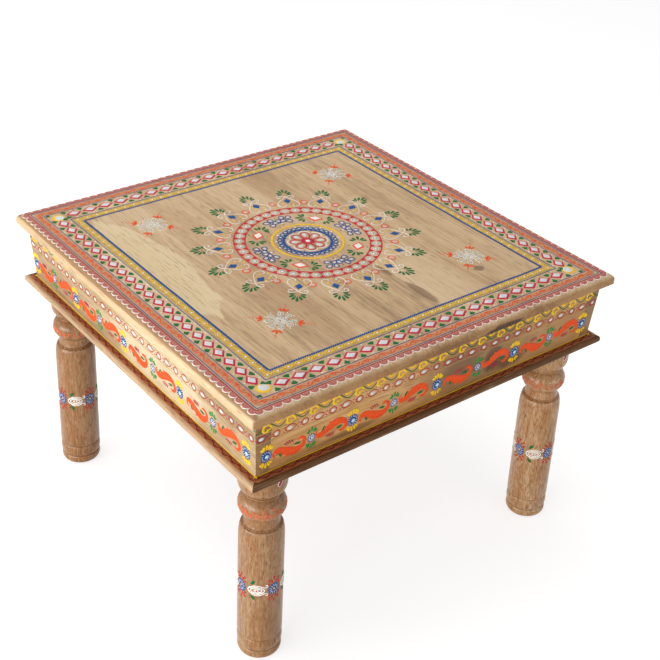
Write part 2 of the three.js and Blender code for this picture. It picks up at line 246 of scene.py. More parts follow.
class MotifCounts(bpy.types.PropertyGroup):
    """How often a motif repeats, along one side or round the mandala."""

    scallops: repeats("Scallops", "Shell arches along each edge", 45)
    diamonds_long: repeats("Diamonds front and back", "Diamonds along the front and the back", 19)
    diamonds_short: repeats("Diamonds left and right", "Diamonds along the left and the right", 21)
    vine_waves: repeats("Top vine waves", "Waves of the orange vine", 22)
    ochre_dots: repeats("Yellow rings", "Ringed dots of the yellow band", 31)
    rope_beads: repeats("Rope beads", "Beads of the blue line", 140)
    side_waves: repeats("Frame vine waves", "Waves of the green vine", 17)
    ovals: repeats("Ovals", "Ovals along a frame board", 28, 2)
    strip_waves: repeats("Strip vine waves", "Waves of the maroon vine", 30)
    lyres: repeats("Lyres", "White scroll motifs round the mandala", 16)
    beads: repeats("Ring beads", "Beads of the mandala's ring", 39)


def millimetres():
    """The sizes as a plain holder of numbers in millimetres."""
    group = bpy.context.scene.table_sizes
    names = TableSizes.__annotations__
    return type("Millimetres", (), {name: getattr(group, name) / MM for name in names})


def counts():
    """How often each motif repeats."""
    return bpy.context.scene.table_counts


# Meshes


def make_mesh(name, points, quads, triangles):
    """A mesh object from points in millimetres and whole arrays of four and three cornered faces."""
    mesh = bpy.data.meshes.new(name)
    corners = np.concatenate([np.ravel(quads), np.ravel(triangles)]).astype(np.int32)
    lengths = np.concatenate([np.full(len(quads), 4), np.full(len(triangles), 3)])
    starts = np.concatenate([[0], np.cumsum(lengths)[:-1]]).astype(np.int32)
    mesh.vertices.add(len(points))
    mesh.vertices.foreach_set("co", (np.asarray(points) * MM).astype(np.float32).ravel())
    mesh.loops.add(len(corners))
    mesh.loops.foreach_set("vertex_index", corners)
    mesh.polygons.add(len(starts))
    mesh.polygons.foreach_set("loop_start", starts)
    mesh.update(calc_edges=True)
    mesh.validate()
    mesh.shade_smooth()
    made = bpy.data.objects.new(name, mesh)
    bpy.context.scene.collection.objects.link(made)
    return made


def ring_faces(rings, number):
    """Faces between rings of so many points each: every point to the next in its ring and in the ring above."""
    at = np.arange(number)
    after = (at + 1) % number
    low = (np.arange(rings - 1) * number)[:, None]
    return np.stack([low + at, low + after, low + number + after, low + number + at], -1).reshape(-1, 4)


def finish_piece(piece, material):
    """Gives a new piece its material, and lets it ride on the table's one body."""
    piece.data.materials.clear()
    piece.data.materials.append(material)
    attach(piece, "root")


def fine_piece(name, rings, smooth_angle, material, tone=0.0):
    """A closed skin through rings of points, rings[level, around], in place of the CAD piece of that name."""
    levels, number = rings.shape[:2]
    piece = make_mesh(name + "_fine", rings.reshape(-1, 3), ring_faces(levels, number), np.zeros((0, 3)))
    skin = bmesh.new()
    skin.from_mesh(piece.data)
    skin.verts.ensure_lookup_table()
    for first in (0, (levels - 1) * number):
        skin.faces.new(skin.verts[first : first + number])
    bmesh.ops.recalc_face_normals(skin, faces=skin.faces)
    skin.to_mesh(piece.data)
    skin.free()
    piece.data.shade_smooth()
    piece.data.set_sharp_from_angle(angle=math.radians(smooth_angle))
    shade = piece.data.attributes.new("tone", "FLOAT", "POINT")
    shade.data.foreach_set("value", np.full(levels * number, tone, np.float32))
    finish_piece(piece, material)
    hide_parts(name)


# Wood pieces, level by level


def rays(angle):
    """Unit steps: x = cos a, y = sin a."""
    return np.stack([np.cos(angle), np.sin(angle)], -1)


def edge_levels(mm):
    """Heights and half widths of the top: a quarter circle below, and a quarter ellipse above."""
    below, above = np.linspace(0, math.pi / 2, 6), np.linspace(0, math.pi / 2, 12)
    height = mm.height - mm.relief - mm.nose_height
    foot, half, soft = mm.underside, mm.top_half, mm.lower_round
    lower = np.stack([foot + soft * (1 - np.cos(below)), half - soft * (1 - np.sin(below))], -1)
    upper = np.stack([mm.nose_height + height * np.sin(above), half - mm.round_width * (1 - np.cos(above))], -1)
    return np.concatenate([lower, upper])


def top_board_rings(mm, left, right, first, last):
    """A board between two x. The corners of the first and the last board are quarter circles from above."""
    bend = mm.corner_round * (1 - rays(np.linspace(0, math.pi / 2, 5)))
    rings = []
    for height, half in edge_levels(mm):
        x_low, x_high = -half if first else left, half if last else right
        corners = []
        for x, sign_x, sign_y, outer in (
            (x_high, 1, 1, last), (x_low, -1, 1, first), (x_low, -1, -1, first), (x_high, 1, -1, last)
        ):
            soft = bend[:: sign_x * sign_y] * (1 if outer else 0.02)
            corners.append(np.stack([x - sign_x * soft[:, 0], sign_y * (half - soft[:, 1]), np.full(5, height)], -1))
        rings.append(np.concatenate(corners))
    return np.array(rings)


def frame_board_rings(mm, long):
    """A board along the front. Its outer face leans out evenly with height."""
    ease, foot, head = mm.board_ease, mm.apron_bottom, mm.underside
    turn = rays(np.linspace(0, math.pi / 2, 4))[:, ::-1]
    rings = []
    for height, inset in (
        (foot, ease), (foot + ease * 0.3, ease * 0.3), (foot + ease, 0), (head - ease, 0), (head, 0)
    ):
        share = (height - foot) / (head - foot)
        face = mm.apron_face + (mm.apron_top_face - mm.apron_face) * share - inset
        end, soft = (face, ease) if long else (mm.apron_inner, 0.02)
        left = np.array([-end + soft, -face + soft]) - soft * turn[::-1]
        right = np.array([end - soft, -face + soft]) + soft * turn * (1, -1)
        ring = np.concatenate([left, right, [[end, -mm.apron_inner], [-end, -mm.apron_inner]]])
        rings.append(np.concatenate([ring, np.full((len(ring), 1), height)], -1))
    return np.array(rings)


def strip_rings(mm):
    """The base strip along the front, end by end. Its section has two quarter circles on the outside."""
    reach = mm.strip_half - mm.apron_inner
    bottom, top, r_low, r_high = mm.strip_bottom, mm.apron_bottom, mm.strip_bottom_round, mm.strip_top_round
    lower = (reach - r_low, bottom + r_low) + r_low * rays(np.linspace(-math.pi / 2, 0, 7))
    upper = (reach - r_high, top - r_high) + r_high * rays(np.linspace(0, math.pi / 2, 7))
    profile = np.concatenate([[(0, bottom)], lower, upper, [(0, top)]])
    out = mm.apron_inner + profile[:, 0]
    return np.array([np.stack([sign * (out - 0.15), -out, profile[:, 1]], -1) for sign in (-1, 1)])


def leg_outline():
    """Radius and height along a turned leg: quarter ellipses for foot, shoulder and bead, a ball."""
    foot_widest, foot_top, shoulder_foot, ball_middle, bead_foot, bead_widest = 8.5, 14.8, 188.2, 239.5, 261.2, 275.0
    quarter = np.linspace(0, math.pi / 2, 8)
    rise, fall = np.sin(quarter), np.cos(quarter)
    foot = np.stack([21 + 7.8 * rise, foot_widest * (1 - fall)], -1)
    foot_upper = np.stack([25.8 + 3.0 * fall, foot_widest + 6.3 * rise], -1)
    bulge = np.linspace(0, math.pi, 16)
    ring = np.stack([25.8 + 3.5 * np.sin(bulge) ** 0.7, foot_top + 18.3 * (1 - np.cos(bulge)) / 2], -1)
    shaft = np.array([[28.4, 33.9], [29.1, 34.9], [29.3, 36.5], [29.3, 112.0], [29.3, shoulder_foot]])
    shoulder = np.stack([25.6 + 3.7 * fall, shoulder_foot + 21.1 * rise], -1)
    lip = np.array([[24.8, 209.6], [25.0, 210.4], [24.4, 211.2]])
    collar = np.stack([23.8 - 1.5 * rise, 223.0 - 11.6 * fall], -1)
    ball = (0, ball_middle) + (30.5, 24.2) * rays(np.linspace(-0.7509, 0.7509, 27))
    lace = np.array([[23.3, 256.2], [23.7, 257.1], [23.4, 258.0], [22.5, 258.4]])
    bead = np.stack([22.3 + 8.9 * rise, bead_foot + 13.8 * (1 - fall)], -1)
    bead_upper = np.stack([29.2 + 2 * fall, bead_widest + 29 * rise], -1)
    return np.concatenate(
        [foot, foot_upper[1:], ring[1:], shaft, shoulder[1:], lip, collar, ball[1:], lace, bead, bead_upper[1:]]
    )


def leg_rings(centre, sides=72):
    """Each outline point (radius, height) carried round the axis: x = r cos a, y = r sin a."""
    angle = np.arange(sides) * math.tau / sides
    radius, height = leg_outline().T[:, :, None]
    x, y = centre[0] + radius * np.cos(angle), centre[1] + radius * np.sin(angle)
    return np.stack([x, y, height + 0 * angle], -1)


# Surfaces that carry paint


def quarter_turned(points, side):
    """Points of the front side turned to another side: (x, y) to (-y, x) for each quarter."""
    for _ in range(side):
        points = np.stack([-points[..., 1], points[..., 0], points[..., 2]], -1)
    return points


def on_top(points, lift):
    """The table top and its rounded edge: height falls with the distance past the flat part."""
    mm = millimetres()
    points = points * TOP_SCALE
    half = np.abs(points).max(-1)
    past = np.clip((half - mm.top_half + mm.round_width) / mm.round_width, 0, 1)
    surface = mm.height - mm.relief
    height = mm.nose_height + (surface - mm.nose_height) * np.sqrt(1 - past**2)
    return np.concatenate([points, (height + lift)[..., None]], -1)


def on_top_side(side):
    """The table top seen from one side: along it, and minus the distance from the middle."""
    return lambda points, lift: quarter_turned(on_top(points / TOP_SCALE, lift), side)


def on_apron(side):
    """A frame board's leaning face: along it and up it."""

    def place(points, lift):
        mm = millimetres()
        share = points[..., 1] / BOARD_DRAWING
        half = mm.apron_face + (mm.apron_top_face - mm.apron_face) * share
        height = mm.apron_bottom + (mm.underside - mm.apron_bottom) * share
        return quarter_turned(np.stack([points[..., 0], -(half + lift), height], -1), side)

    return place


def on_strip(side):
    """The top face of a base strip: along it, and minus the distance out from the frame board."""

    def place(points, lift):
        mm = millimetres()
        out = -(mm.apron_face - points[..., 1])
        return quarter_turned(np.stack([points[..., 0], out, mm.apron_bottom + lift], -1), side)

    return place


def on_leg(centre):
    """A leg's surface: arc length round it at the widest radius, and height."""
    outline = leg_outline()

    def place(points, lift):
        height = points[..., 1] * outline[-1, 1] / LEG_DRAWING
        radius = np.interp(height, outline[:, 1], outline[:, 0]) + lift
        angle = points[..., 0] / LEG_RADIUS
        return np.stack([centre[0] + radius * np.cos(angle), centre[1] + radius * np.sin(angle), height], -1)

    return place


# Shapes in the flat, in millimetres


def row(along, up):
    """Points from a list of x and a list of y, or one y for all."""
    return np.stack(np.broadcast_arrays(along, up), -1)


def closed(outline):
    """The outline with its first point again at its end."""
    return np.concatenate([outline, outline[:1]])


def inner(outline, share):
    """The outline drawn in towards the mean of its points."""
    return outline.mean(0) + (outline - outline.mean(0)) * share


def ellipse(across, up, count=8):
    """x = a cos t, y = b sin t."""
    return (across, up) * rays(np.arange(count) * math.tau / count)


def polygon(*corners, between=2):
    """A closed outline through corners, with points between them."""
    ends = np.array(corners, float)
    share = (np.arange(between) / between)[:, None]
    return np.concatenate([a + (b - a) * share for a, b in zip(ends, np.roll(ends, -1, axis=0))])


def leaf(length, width, skew=0.6, count=8):
    """A leaf from the origin along x: half width = sin a times the share of the length to a power."""
    angle = np.arange(count) * math.tau / count
    share = (1 - np.cos(angle)) / 2
    side = np.sin(angle) * np.maximum(share, 1e-3) ** skew
    return np.stack([length * share, width / 2 * side / np.abs(side).max()], -1)


def arc(radius, start, end, count, squash=1.0):
    """x = r cos t, y = r sin t times a share, between two angles."""
    angle = np.linspace(start, end, count)
    return np.stack([radius * np.cos(angle), squash * radius * np.sin(angle)], -1)


def smooth_path(corners, count):
    """A Catmull-Rom curve through the corners."""
    knots = np.array(corners, float)
    knots = np.concatenate([[2 * knots[0] - knots[1]], knots, [2 * knots[-1] - knots[-2]]])
    at = np.linspace(0, len(corners) - 1.0001, count)
    cell = at.astype(int)
    share = (at - cell)[:, None]
    a, b, c, d = (knots[cell + step] for step in range(4))
    return 0.5 * (
        2 * b + (c - a) * share + (2 * a - 5 * b + 4 * c - d) * share**2 + (3 * b - a - 3 * c + d) * share**3
    )


def wave(reach, waves, height, middle, per_wave, phase=0.0):
    """A sine wave along x, from minus the reach to the reach."""
    x = np.linspace(-reach, reach, int(waves * per_wave) + 1)
    return row(x, middle + height * np.sin((x + reach) / (2 * reach) * waves * math.tau + phase))


def around(number, radius, start=0.0, middle=MANDALA_MIDDLE):
    """Places spread evenly round a circle, and their directions."""
    angle = start + np.arange(number) * math.tau / number
    return middle + radius * rays(angle), angle


def laid(shapes, at, turn=0.0, scale=1.0, flip=1.0):
    """Copies of one or more shapes, flipped across x, scaled, turned and moved to each place."""
    shapes = np.atleast_3d(np.asarray(shapes, float).T).T[:, None]
    at = np.atleast_2d(np.asarray(at, float))
    turn, scale, flip = (np.broadcast_to(np.asarray(value, float), len(at)) for value in (turn, scale, flip))
    x = shapes[..., 0] * scale[:, None]
    y = shapes[..., 1] * (scale * flip)[:, None]
    cos, sin = np.cos(turn)[:, None], np.sin(turn)[:, None]
    placed = np.stack([x * cos - y * sin, x * sin + y * cos], -1) + at[:, None, :]
    return placed.reshape(-1, *placed.shape[2:])


class Relief:
    """Raised paint. Each colour gathers strokes and fills, and becomes one mesh with closed shapes."""

    def __init__(self, seed=0):
        self.rng = np.random.default_rng(seed)
        self.side = 0
        self.place = on_top
        self.shapes = {}

    def turn_to(self, side, surface):
        """Puts what is painted next on one side's surface."""
        self.side, self.place = side, surface(side)

    def jitter(self, spread, number, middle=0.0):
        """Small random differences, as a hand makes them."""
        return self.rng.normal(middle, spread, number)

    def stroke(self, paint, paths, width, lift=COAT, shoulder=0.6):
        """A brush line: a low rounded cross-section carried along each path, with a point at each end."""
        paths = np.asarray(paths, float)
        paths = paths if paths.ndim == 3 else paths[None]
        step = np.gradient(paths, axis=1)
        step /= np.maximum(np.linalg.norm(step, axis=-1, keepdims=True), 1e-9)
        left = np.stack([-step[..., 1], step[..., 0]], -1)
        half = np.broadcast_to(np.asarray(width, float) / 2, paths.shape[:2])
        across = np.array([-1, -shoulder, 0, shoulder, 1])
        lifts = np.array([SUNK, 0.8 * lift, lift, 0.8 * lift, SUNK])
        flat = paths[:, :, None] + left[:, :, None] * (half[..., None] * across)[..., None]
        rings = self.place(flat, np.broadcast_to(lifts, flat.shape[:-1]))
        tips = paths[:, [0, -1]] + step[:, [0, -1]] * half[:, [0, -1], None] * np.array([-0.8, 0.8])[:, None]
        poles = self.place(tips, np.full(tips.shape[:-1], lift * 0.25))
        copies, stations = paths.shape[:2]
        section = np.arange(5)
        after = (section + 1) % 5
        last = (stations - 1) * 5
        start = np.stack([np.full(5, stations * 5), section, after], -1)
        end = np.stack([np.full(5, stations * 5 + 1), last + after, last + section], -1)
        points = np.concatenate([rings.reshape(copies, -1, 3), poles], 1)
        sides = ring_faces(stations, 5)[:, [0, 3, 2, 1]]
        self.shapes.setdefault(paint, []).append((points, sides, np.concatenate([start, end])))

    def fill(self, paint, outlines, lift=COAT, edge=0.84):
        """A filled shape: its outline, two rings drawn in towards the middle, and a pole on top."""
        following = np.roll(outlines, -1, axis=1)
        area = (outlines[..., 0] * following[..., 1] - outlines[..., 1] * following[..., 0]).sum(1)
        outlines = np.where(area[:, None, None] < 0, outlines[:, ::-1], outlines)
        middle = outlines.mean(1, keepdims=True)
        copies, number = outlines.shape[:2]
        shares = np.array([1, edge, 0.5])[None, :, None, None]
        lifts = np.array([SUNK, 0.8 * lift, lift])[None, :, None]
        flat = middle[:, None] + (outlines - middle)[:, None] * shares
        rings = self.place(flat, np.broadcast_to(lifts, flat.shape[:-1]))
        poles = self.place(np.repeat(middle, 2, 1), np.broadcast_to([lift, SUNK], (copies, 2)))
        at = np.arange(number)
        after = (at + 1) % number
        top = np.stack([2 * number + at, 2 * number + after, np.full(number, 3 * number)], -1)
        bottom = np.stack([after, at, np.full(number, 3 * number + 1)], -1)
        points = np.concatenate([rings.reshape(copies, -1, 3), poles], 1)
        self.shapes.setdefault(paint, []).append((points, ring_faces(3, number), np.concatenate([top, bottom])))

    def make(self, area):
        """One object for each colour, named for the area that it paints."""
        for paint, parts in self.shapes.items():
            points, quads, triangles, base = [], [], [], 0
            for cells, square, three in parts:
                copies, count = cells.shape[:2]
                offset = base + (np.arange(copies) * count)[:, None, None]
                points.append(cells.reshape(-1, 3))
                quads.append((square + offset).reshape(-1, 4))
                triangles.append((three + offset).reshape(-1, 3))
                base += copies * count
            whole = (np.concatenate(part) for part in (points, quads, triangles))
            finish_piece(make_mesh(area + "_" + paint, *whole), paint_material(paint))


# Materials


def node(tree, kind, settings=None, inputs=None):
    """Adds one node, sets its properties, gives each input a value or a link, and returns its outputs."""
    made = tree.nodes.new("ShaderNode" + kind)
    for key, value in (settings or {}).items():
        if key == "stops":
            elements = made.color_ramp.elements
            for element, (position, shade) in zip(elements, (value[0], value[-1])):
                element.position, element.color = position, (*shade, 1)
            for position, shade in value[1:-1]:
                elements.new(position).color = (*shade, 1)
        else:
            setattr(made, key, value)
    for key, value in (inputs or {}).items():
        socket = made.inputs[key]
        if isinstance(value, bpy.types.NodeSocket):
            tree.links.new(value, socket)
        else:
            socket.default_value = (*value, 1) if socket.type == "RGBA" else value
    return made.outputs


def material_once(name, surface):
    """The material of that name. The first time, surface(tree) makes its nodes and gives the shader's inputs."""
    material = bpy.data.materials.get(name)
    if not material:
        material = bpy.data.materials.new(name)
        material.use_nodes = True
        tree = material.node_tree
        tree.nodes.clear()
        shader = node(tree, "BsdfPrincipled", None, surface(tree))
        node(tree, "OutputMaterial", None, {"Surface": shader[0]})
    return material


def seen_rays(tree):
    """1 for rays that show what stands behind the table, also in a sheen, and 0 for rays that carry light to it."""
    light_path, larger = node(tree, "LightPath"), {"operation": "MAXIMUM"}
    either = node(tree, "Math", larger, {0: light_path["Is Camera Ray"], 1: light_path["Is Glossy Ray"]})[0]
    return node(tree, "Math", larger, {0: either, 1: light_path["Is Transmission Ray"]})[0]


def blot(tree, coords, base, mark):
    """Lays a soft patch of another colour over the wood: a squared distance from its middle."""
    centre, reach, shade, strength, soft = mark
    place = {"Vector": coords, "Location": np.array(centre) * MM, "Scale": np.array(reach) * MM}
    local = node(tree, "Mapping", {"vector_type": "TEXTURE"}, place)[0]
    # The outline wanders by up to half of this share of the reach, either way
    wander = 0.9
    rough = node(tree, "TexNoise", None, {"Vector": local, "Scale": 2.2, "Detail": 4.0})[1]
    moved = node(tree, "VectorMath", {"operation": "MULTIPLY_ADD"}, {0: rough, 1: (wander,) * 3, 2: local})[0]
    centred = node(tree, "VectorMath", {"operation": "SUBTRACT"}, {0: moved, 1: (wander / 2,) * 3})[0]
    squared = node(tree, "VectorMath", {"operation": "DOT_PRODUCT"}, {0: centred, 1: centred})["Value"]
    limits = {"Value": squared, "From Min": 1 + soft, "From Max": 1 - soft, "To Max": strength}
    share = node(tree, "MapRange", {"interpolation_type": "SMOOTHSTEP"}, limits)[0]
    return node(tree, "Mix", {"data_type": "RGBA"}, {0: share, 6: base, 7: linear(shade)})[2]


def wood(name, grain, base, marks=(), roughness=0.5, coarse=1.0, end_grain=0.8, gloss=0.26):
    """Mango wood, planed, turned or sawn, and oiled. Fibres are noise drawn out along the grain, growth rings
    are bent bands across it, and small dark ticks are its open pores.

    Faces cut across the grain drink up more oil and are darker. Scales are repeats in a metre: fibres are
    4 mm apart, flecks 2.4 mm and pores 1.6 mm, as coarse as they need to be to show.
    """
    paints = bpy.context.scene.table_colours
    main = np.array(getattr(paints, base))
    pale = tuple(main * 0.55 + np.array(paints.sapwood) * 0.45)
    dark = tuple(main * (0.42, 0.38, 0.34))
    fibres, flecks, pores = 230.0, 420.0 * coarse**0.5, 620.0
    add, darken = {"operation": "MULTIPLY_ADD"}, {"data_type": "RGBA", "blend_type": "MULTIPLY"}

    def surface(tree):
        coords = node(tree, "TexCoord")["Object"]
        tone = node(tree, "Attribute", {"attribute_name": "tone"})
        # Boards of another tone are cut from another part of the log
        apart = node(tree, "VectorMath", add, {0: tone["Vector"], 1: (7.0, 5.0, 3.0), 2: coords})[0]

        def stretched(along):
            """Coordinates that run slower along the grain."""
            scale = [1.0] * 3
            scale[grain] = along
            return node(tree, "Mapping", None, {"Vector": apart, "Scale": scale})[0]

        slow = node(tree, "TexNoise", None, {"Vector": stretched(0.10), "Scale": 9.0, "Detail": 3.0})[1]
        bent = node(tree, "VectorMath", add, {0: slow, 1: (0.16,) * 3, 2: stretched(0.06)})[0]
        bands = {"wave_type": "BANDS", "bands_direction": "DIAGONAL", "wave_profile": "SIN"}
        settings = {"Vector": bent, "Scale": 9.0, "Distortion": 2.5, "Detail": 3.0, "Detail Scale": 2.0}
        rings = node(tree, "TexWave", bands, settings)[1]
        fibre, patches, fleck, pore = (
            node(
                tree, "TexNoise", None,
                {"Vector": stretched(along), "Scale": scale, "Detail": detail, "Roughness": rough},
            )[0]
            for along, scale, detail, rough in (
                (0.035 * coarse**3, fibres, 5.0, 0.62), (0.3, 10.0, 4.0, 0.55),
                (0.09 * coarse**2, flecks, 2.0, 0.5), (0.06 * coarse**2, pores, 2.0, 0.5),
            )
        )
        level = tone["Fac"]
        for part, weight in ((rings, 0.16), (fibre, 0.74), (fleck, 0.35 * coarse), (patches, 0.75)):
            level = node(tree, "Math", add, {0: part, 1: weight, 2: level})[0]
        level = node(tree, "Math", {"operation": "ADD"}, {0: level, 1: -0.50 - 0.175 * (coarse - 1)})[0]
        stops = [(0.12, dark), (0.5, tuple(main)), (0.88, pale)]
        shade = node(tree, "ValToRGB", {"stops": stops}, {"Fac": level})[0]
        for mark in marks:
            shade = blot(tree, coords, shade, mark)
        limits = {"Value": pore, "From Min": 0.57, "From Max": 0.68, "To Max": 0.3 + 0.15 * coarse}
        ticks = node(tree, "MapRange", None, limits)[0]
        shade = node(tree, "Mix", darken, {0: ticks, 6: shade, 7: linear("#8d6d50")})[2]
        facing = node(tree, "SeparateXYZ", None, {0: node(tree, "NewGeometry")["Normal"]})[grain]
        across = node(tree, "Math", {"operation": "ABSOLUTE"}, {0: facing})[0]
        limits = {"Value": across, "From Min": 0.45, "From Max": 0.95, "To Max": end_grain}
        cut = node(tree, "MapRange", None, limits)[0]
        limits = {"From Min": 0.3, "From Max": 0.7, "To Min": roughness - 0.06, "To Max": roughness + 0.08}
        height = node(tree, "Math", {"operation": "SUBTRACT"}, {0: fibre, 1: ticks})[0]
        return {
            "Base Color": node(tree, "Mix", darken, {0: cut, 6: shade, 7: linear("#c4a47c")})[2],
            "Roughness": node(tree, "MapRange", None, {"Value": fibre, **limits})[0],
            "Normal": node(tree, "Bump", None, {"Height": height, "Strength": 0.35, "Distance": 0.0004})[0],
            "IOR": 1.45,
            "Specular IOR Level": gloss,
        }

    return material_once(name, surface)


def paint_material(paint):
    """Water-based artist's paint, brushed on thick. Slightly streaked, with a soft eggshell gloss."""
    base = tuple(getattr(bpy.context.scene.table_colours, paint))
    deep = tuple(part * 0.72 for part in base)
    light = tuple(min(1.0, part * 1.12 + 0.01) for part in base)

    def surface(tree):
        # Brush marks, 2.4 mm apart
        place = {"Vector": node(tree, "TexCoord")["Object"], "Scale": 420.0, "Detail": 4.0, "Roughness": 0.6}
        brush = node(tree, "TexNoise", None, place)[0]
        stops = [(0.3, deep), (0.5, base), (0.75, light)]
        return {
            "Base Color": node(tree, "ValToRGB", {"stops": stops}, {"Fac": brush})[0],
            "Normal": node(tree, "Bump", None, {"Height": brush, "Strength": 0.3, "Distance": 0.0003})[0],
            "Roughness": 0.55,
            "Specular IOR Level": 0.16,
        }

    return material_once("brushed_emulsion_" + paint, surface)


def zinc_plated_steel(tree):
    """Zinc-plated steel fasteners, rolled and plated. Dull silver with fine clouding."""
    place = {"Vector": node(tree, "TexCoord")["Object"], "Scale": 300.0, "Detail": 4.0}
    cloud = node(tree, "TexNoise", None, place)[0]
    stops = [(0.3, linear("#9a9c9e")), (0.7, linear("#c4c6c8"))]
    return {
        "Base Color": node(tree, "ValToRGB", {"stops": stops}, {"Fac": cloud})[0],
        "Roughness": node(tree, "MapRange", None, {"Value": cloud, "To Min": 0.28, "To Max": 0.5})[0],
        "Metallic": 1.0,
    }


def matt_white_paper(tree):
    """Matt paper of a studio floor. It glows evenly where it is looked at, and takes the table's shadow."""
    seen, grey = seen_rays(tree), (0.5, 0.5, 0.5)
    return {
        "Base Color": node(tree, "Mix", {"data_type": "RGBA"}, {0: seen, 6: linear("#e2e0dc"), 7: grey})[2],
        "Emission Color": (1, 1, 1),
        "Emission Strength": node(tree, "Math", {"operation": "MULTIPLY"}, {0: seen, 1: FLOOR_GLOW})[0],
        "Roughness": 1.0,
        "Specular IOR Level": 0.0,
    }


# Stage


def put_in_scene(name, data, right, up, back, place):
    """Links a lamp or camera that looks along minus its third axis."""
    made = bpy.data.objects.new(name, data)
    bpy.context.scene.collection.objects.link(made)
    pose = np.eye(4)
    pose[:3] = np.stack([right, up, back, place], -1)
    made.matrix_world = Matrix(pose.tolist())
    return made


def add_lamp(name, power, width, height, place, target):
    """A rectangle of light that faces its target."""
    light = bpy.data.lights.new(name, "AREA")
    light.energy, light.shape, light.size, light.size_y = power, "RECTANGLE", width, height
    back = np.array(place, float) - np.array(target, float)
    back /= np.linalg.norm(back)
    right = np.cross((0, 0, 1), back)
    right /= np.linalg.norm(right)
    put_in_scene(name, light, right, np.cross(back, right), back, place)


def add_camera():
    """The photo's camera, turned about the upright axis, tilted down, and rolled about its line of sight."""
    turn, tilt, roll = (math.radians(angle) for angle in CAMERA_ANGLES)
    back = np.array([math.sin(turn) * math.cos(tilt), -math.cos(turn) * math.cos(tilt), math.sin(tilt)])
    right = np.array([math.cos(turn), math.sin(turn), 0])
    up = np.cross(back, right)
    rolled_right = math.cos(roll) * right + math.sin(roll) * up
    rolled_up = -math.sin(roll) * right + math.cos(roll) * up
    camera = bpy.data.cameras.new("camera")
    camera.sensor_width = SENSOR_WIDTH
    camera.lens = FOCAL_PIXELS * SENSOR_WIDTH / PHOTO_PIXELS
    camera.shift_y = CAMERA_SHIFT
    camera.clip_start, camera.clip_end = 0.05, 60
    bpy.context.scene.camera = put_in_scene("camera", camera, rolled_right, rolled_up, back, CAMERA_PLACE)


class TABLE_OT_stage(bpy.types.Operator):
    """Makes the floor, the white surroundings, the soft lamps and the camera"""

    bl_idname = "table.stage"
    bl_label = "Studio and camera"

    def execute(self, context):
        corners = FLOOR_REACH * np.array([[-1, -1, 0], [1, -1, 0], [1, 1, 0], [-1, 1, 0]])
        floor = make_mesh("floor", corners, np.array([[0, 1, 2, 3]]), np.zeros((0, 3)))
        floor.data.materials.append(material_once("matt_white_paper", matt_white_paper))
        floor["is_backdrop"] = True
        world = bpy.data.worlds.new("white_studio")
        world.use_nodes = True
        tree = world.node_tree
        tree.nodes.clear()
        strength = node(tree, "MapRange", None, {"Value": seen_rays(tree), "To Min": WORLD_LIGHT})[0]
        sky = node(tree, "Background", None, {"Color": (1, 1, 1), "Strength": strength})[0]
        node(tree, "OutputWorld", None, {"Surface": sky})
        context.scene.world = world
        for name, settings in LAMPS.items():
            add_lamp(name, *settings)
        add_camera()
        context.scene.view_settings.view_transform = "Standard"
        return {"FINISHED"}


# Wood


class TABLE_OT_top(bpy.types.Operator):
    """Makes the fine boards of the top"""

    bl_idname = "table.top"
    bl_label = "Top boards"

    def execute(self, context):
        material = wood("planed_mango_wood_top", 1, "top_wood", TOP_MARKS)
        for at, name in enumerate(BOARDS):
            low, high = (np.array(corner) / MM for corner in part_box(name))
            rings = top_board_rings(millimetres(), low[0], high[0], at == 0, at == len(BOARDS) - 1)
            fine_piece(name, rings, 40, material, BOARD_TONES[at % len(BOARD_TONES)])
        return {"FINISHED"}


class TABLE_OT_frame(bpy.types.Operator):
    """Makes the fine frame boards and the base strips"""

    bl_idname = "table.frame"
    bl_label = "Frame boards and base strips"

    def execute(self, context):
        mm = millimetres()
        for side, word in enumerate(SIDES):
            grain, name = side % 2, "apron_" + word
            rings = quarter_turned(frame_board_rings(mm, grain == 1), side)
            # The left and right boards take the greyer wood with painted sheen
            base = ("frame_wood", "side_wood")[grain]
            material = wood("planed_mango_wood_" + name, grain, base, FRAME_MARKS[word])
            fine_piece(name, rings, 60, material)
        for side, word in enumerate(SIDES):
            grain = side % 2
            # The front and back strips take the darker wood of painted shade
            base = ("strip_dark", "strip_wood")[grain]
            material = wood("planed_mango_wood_strip_" + "xy"[grain], grain, base, gloss=0.12)
            fine_piece("moulding_" + word, quarter_turned(strip_rings(mm), side), 40, material)
        return {"FINISHED"}


class TABLE_OT_legs(bpy.types.Operator):
    """Makes the fine turned legs"""

    bl_idname = "table.legs"
    bl_label = "Turned legs"

    def execute(self, context):
        axis = millimetres().leg_axis
        material = wood("turned_mango_wood", 2, "leg_wood", LEG_MARKS, 0.30, 1.7, 0.3, 0.45)
        for corner, (x, y) in CORNERS.items():
            fine_piece("leg_" + corner, leg_rings((x * axis, y * axis)), 50, material)
        return {"FINISHED"}


class TABLE_OT_inner(bpy.types.Operator):
    """Gives the inner battens, blocks and fasteners their materials"""

    bl_idname = "table.inner"
    bl_label = "Inner pieces"

    def execute(self, context):
        plain = wood("sawn_mango_wood_inner", 0, "inner_wood", roughness=0.68)
        steel = material_once("zinc_plated_steel", zinc_plated_steel)
        for name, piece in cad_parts.items():
            if not piece.hide_render:
                wooden = name.startswith(("batten_front", "batten_back", "corner_block"))
                piece.data.materials.clear()
                piece.data.materials.append(plain if wooden else steel)
        return {"FINISHED"}


# Border of the top, one side at a time


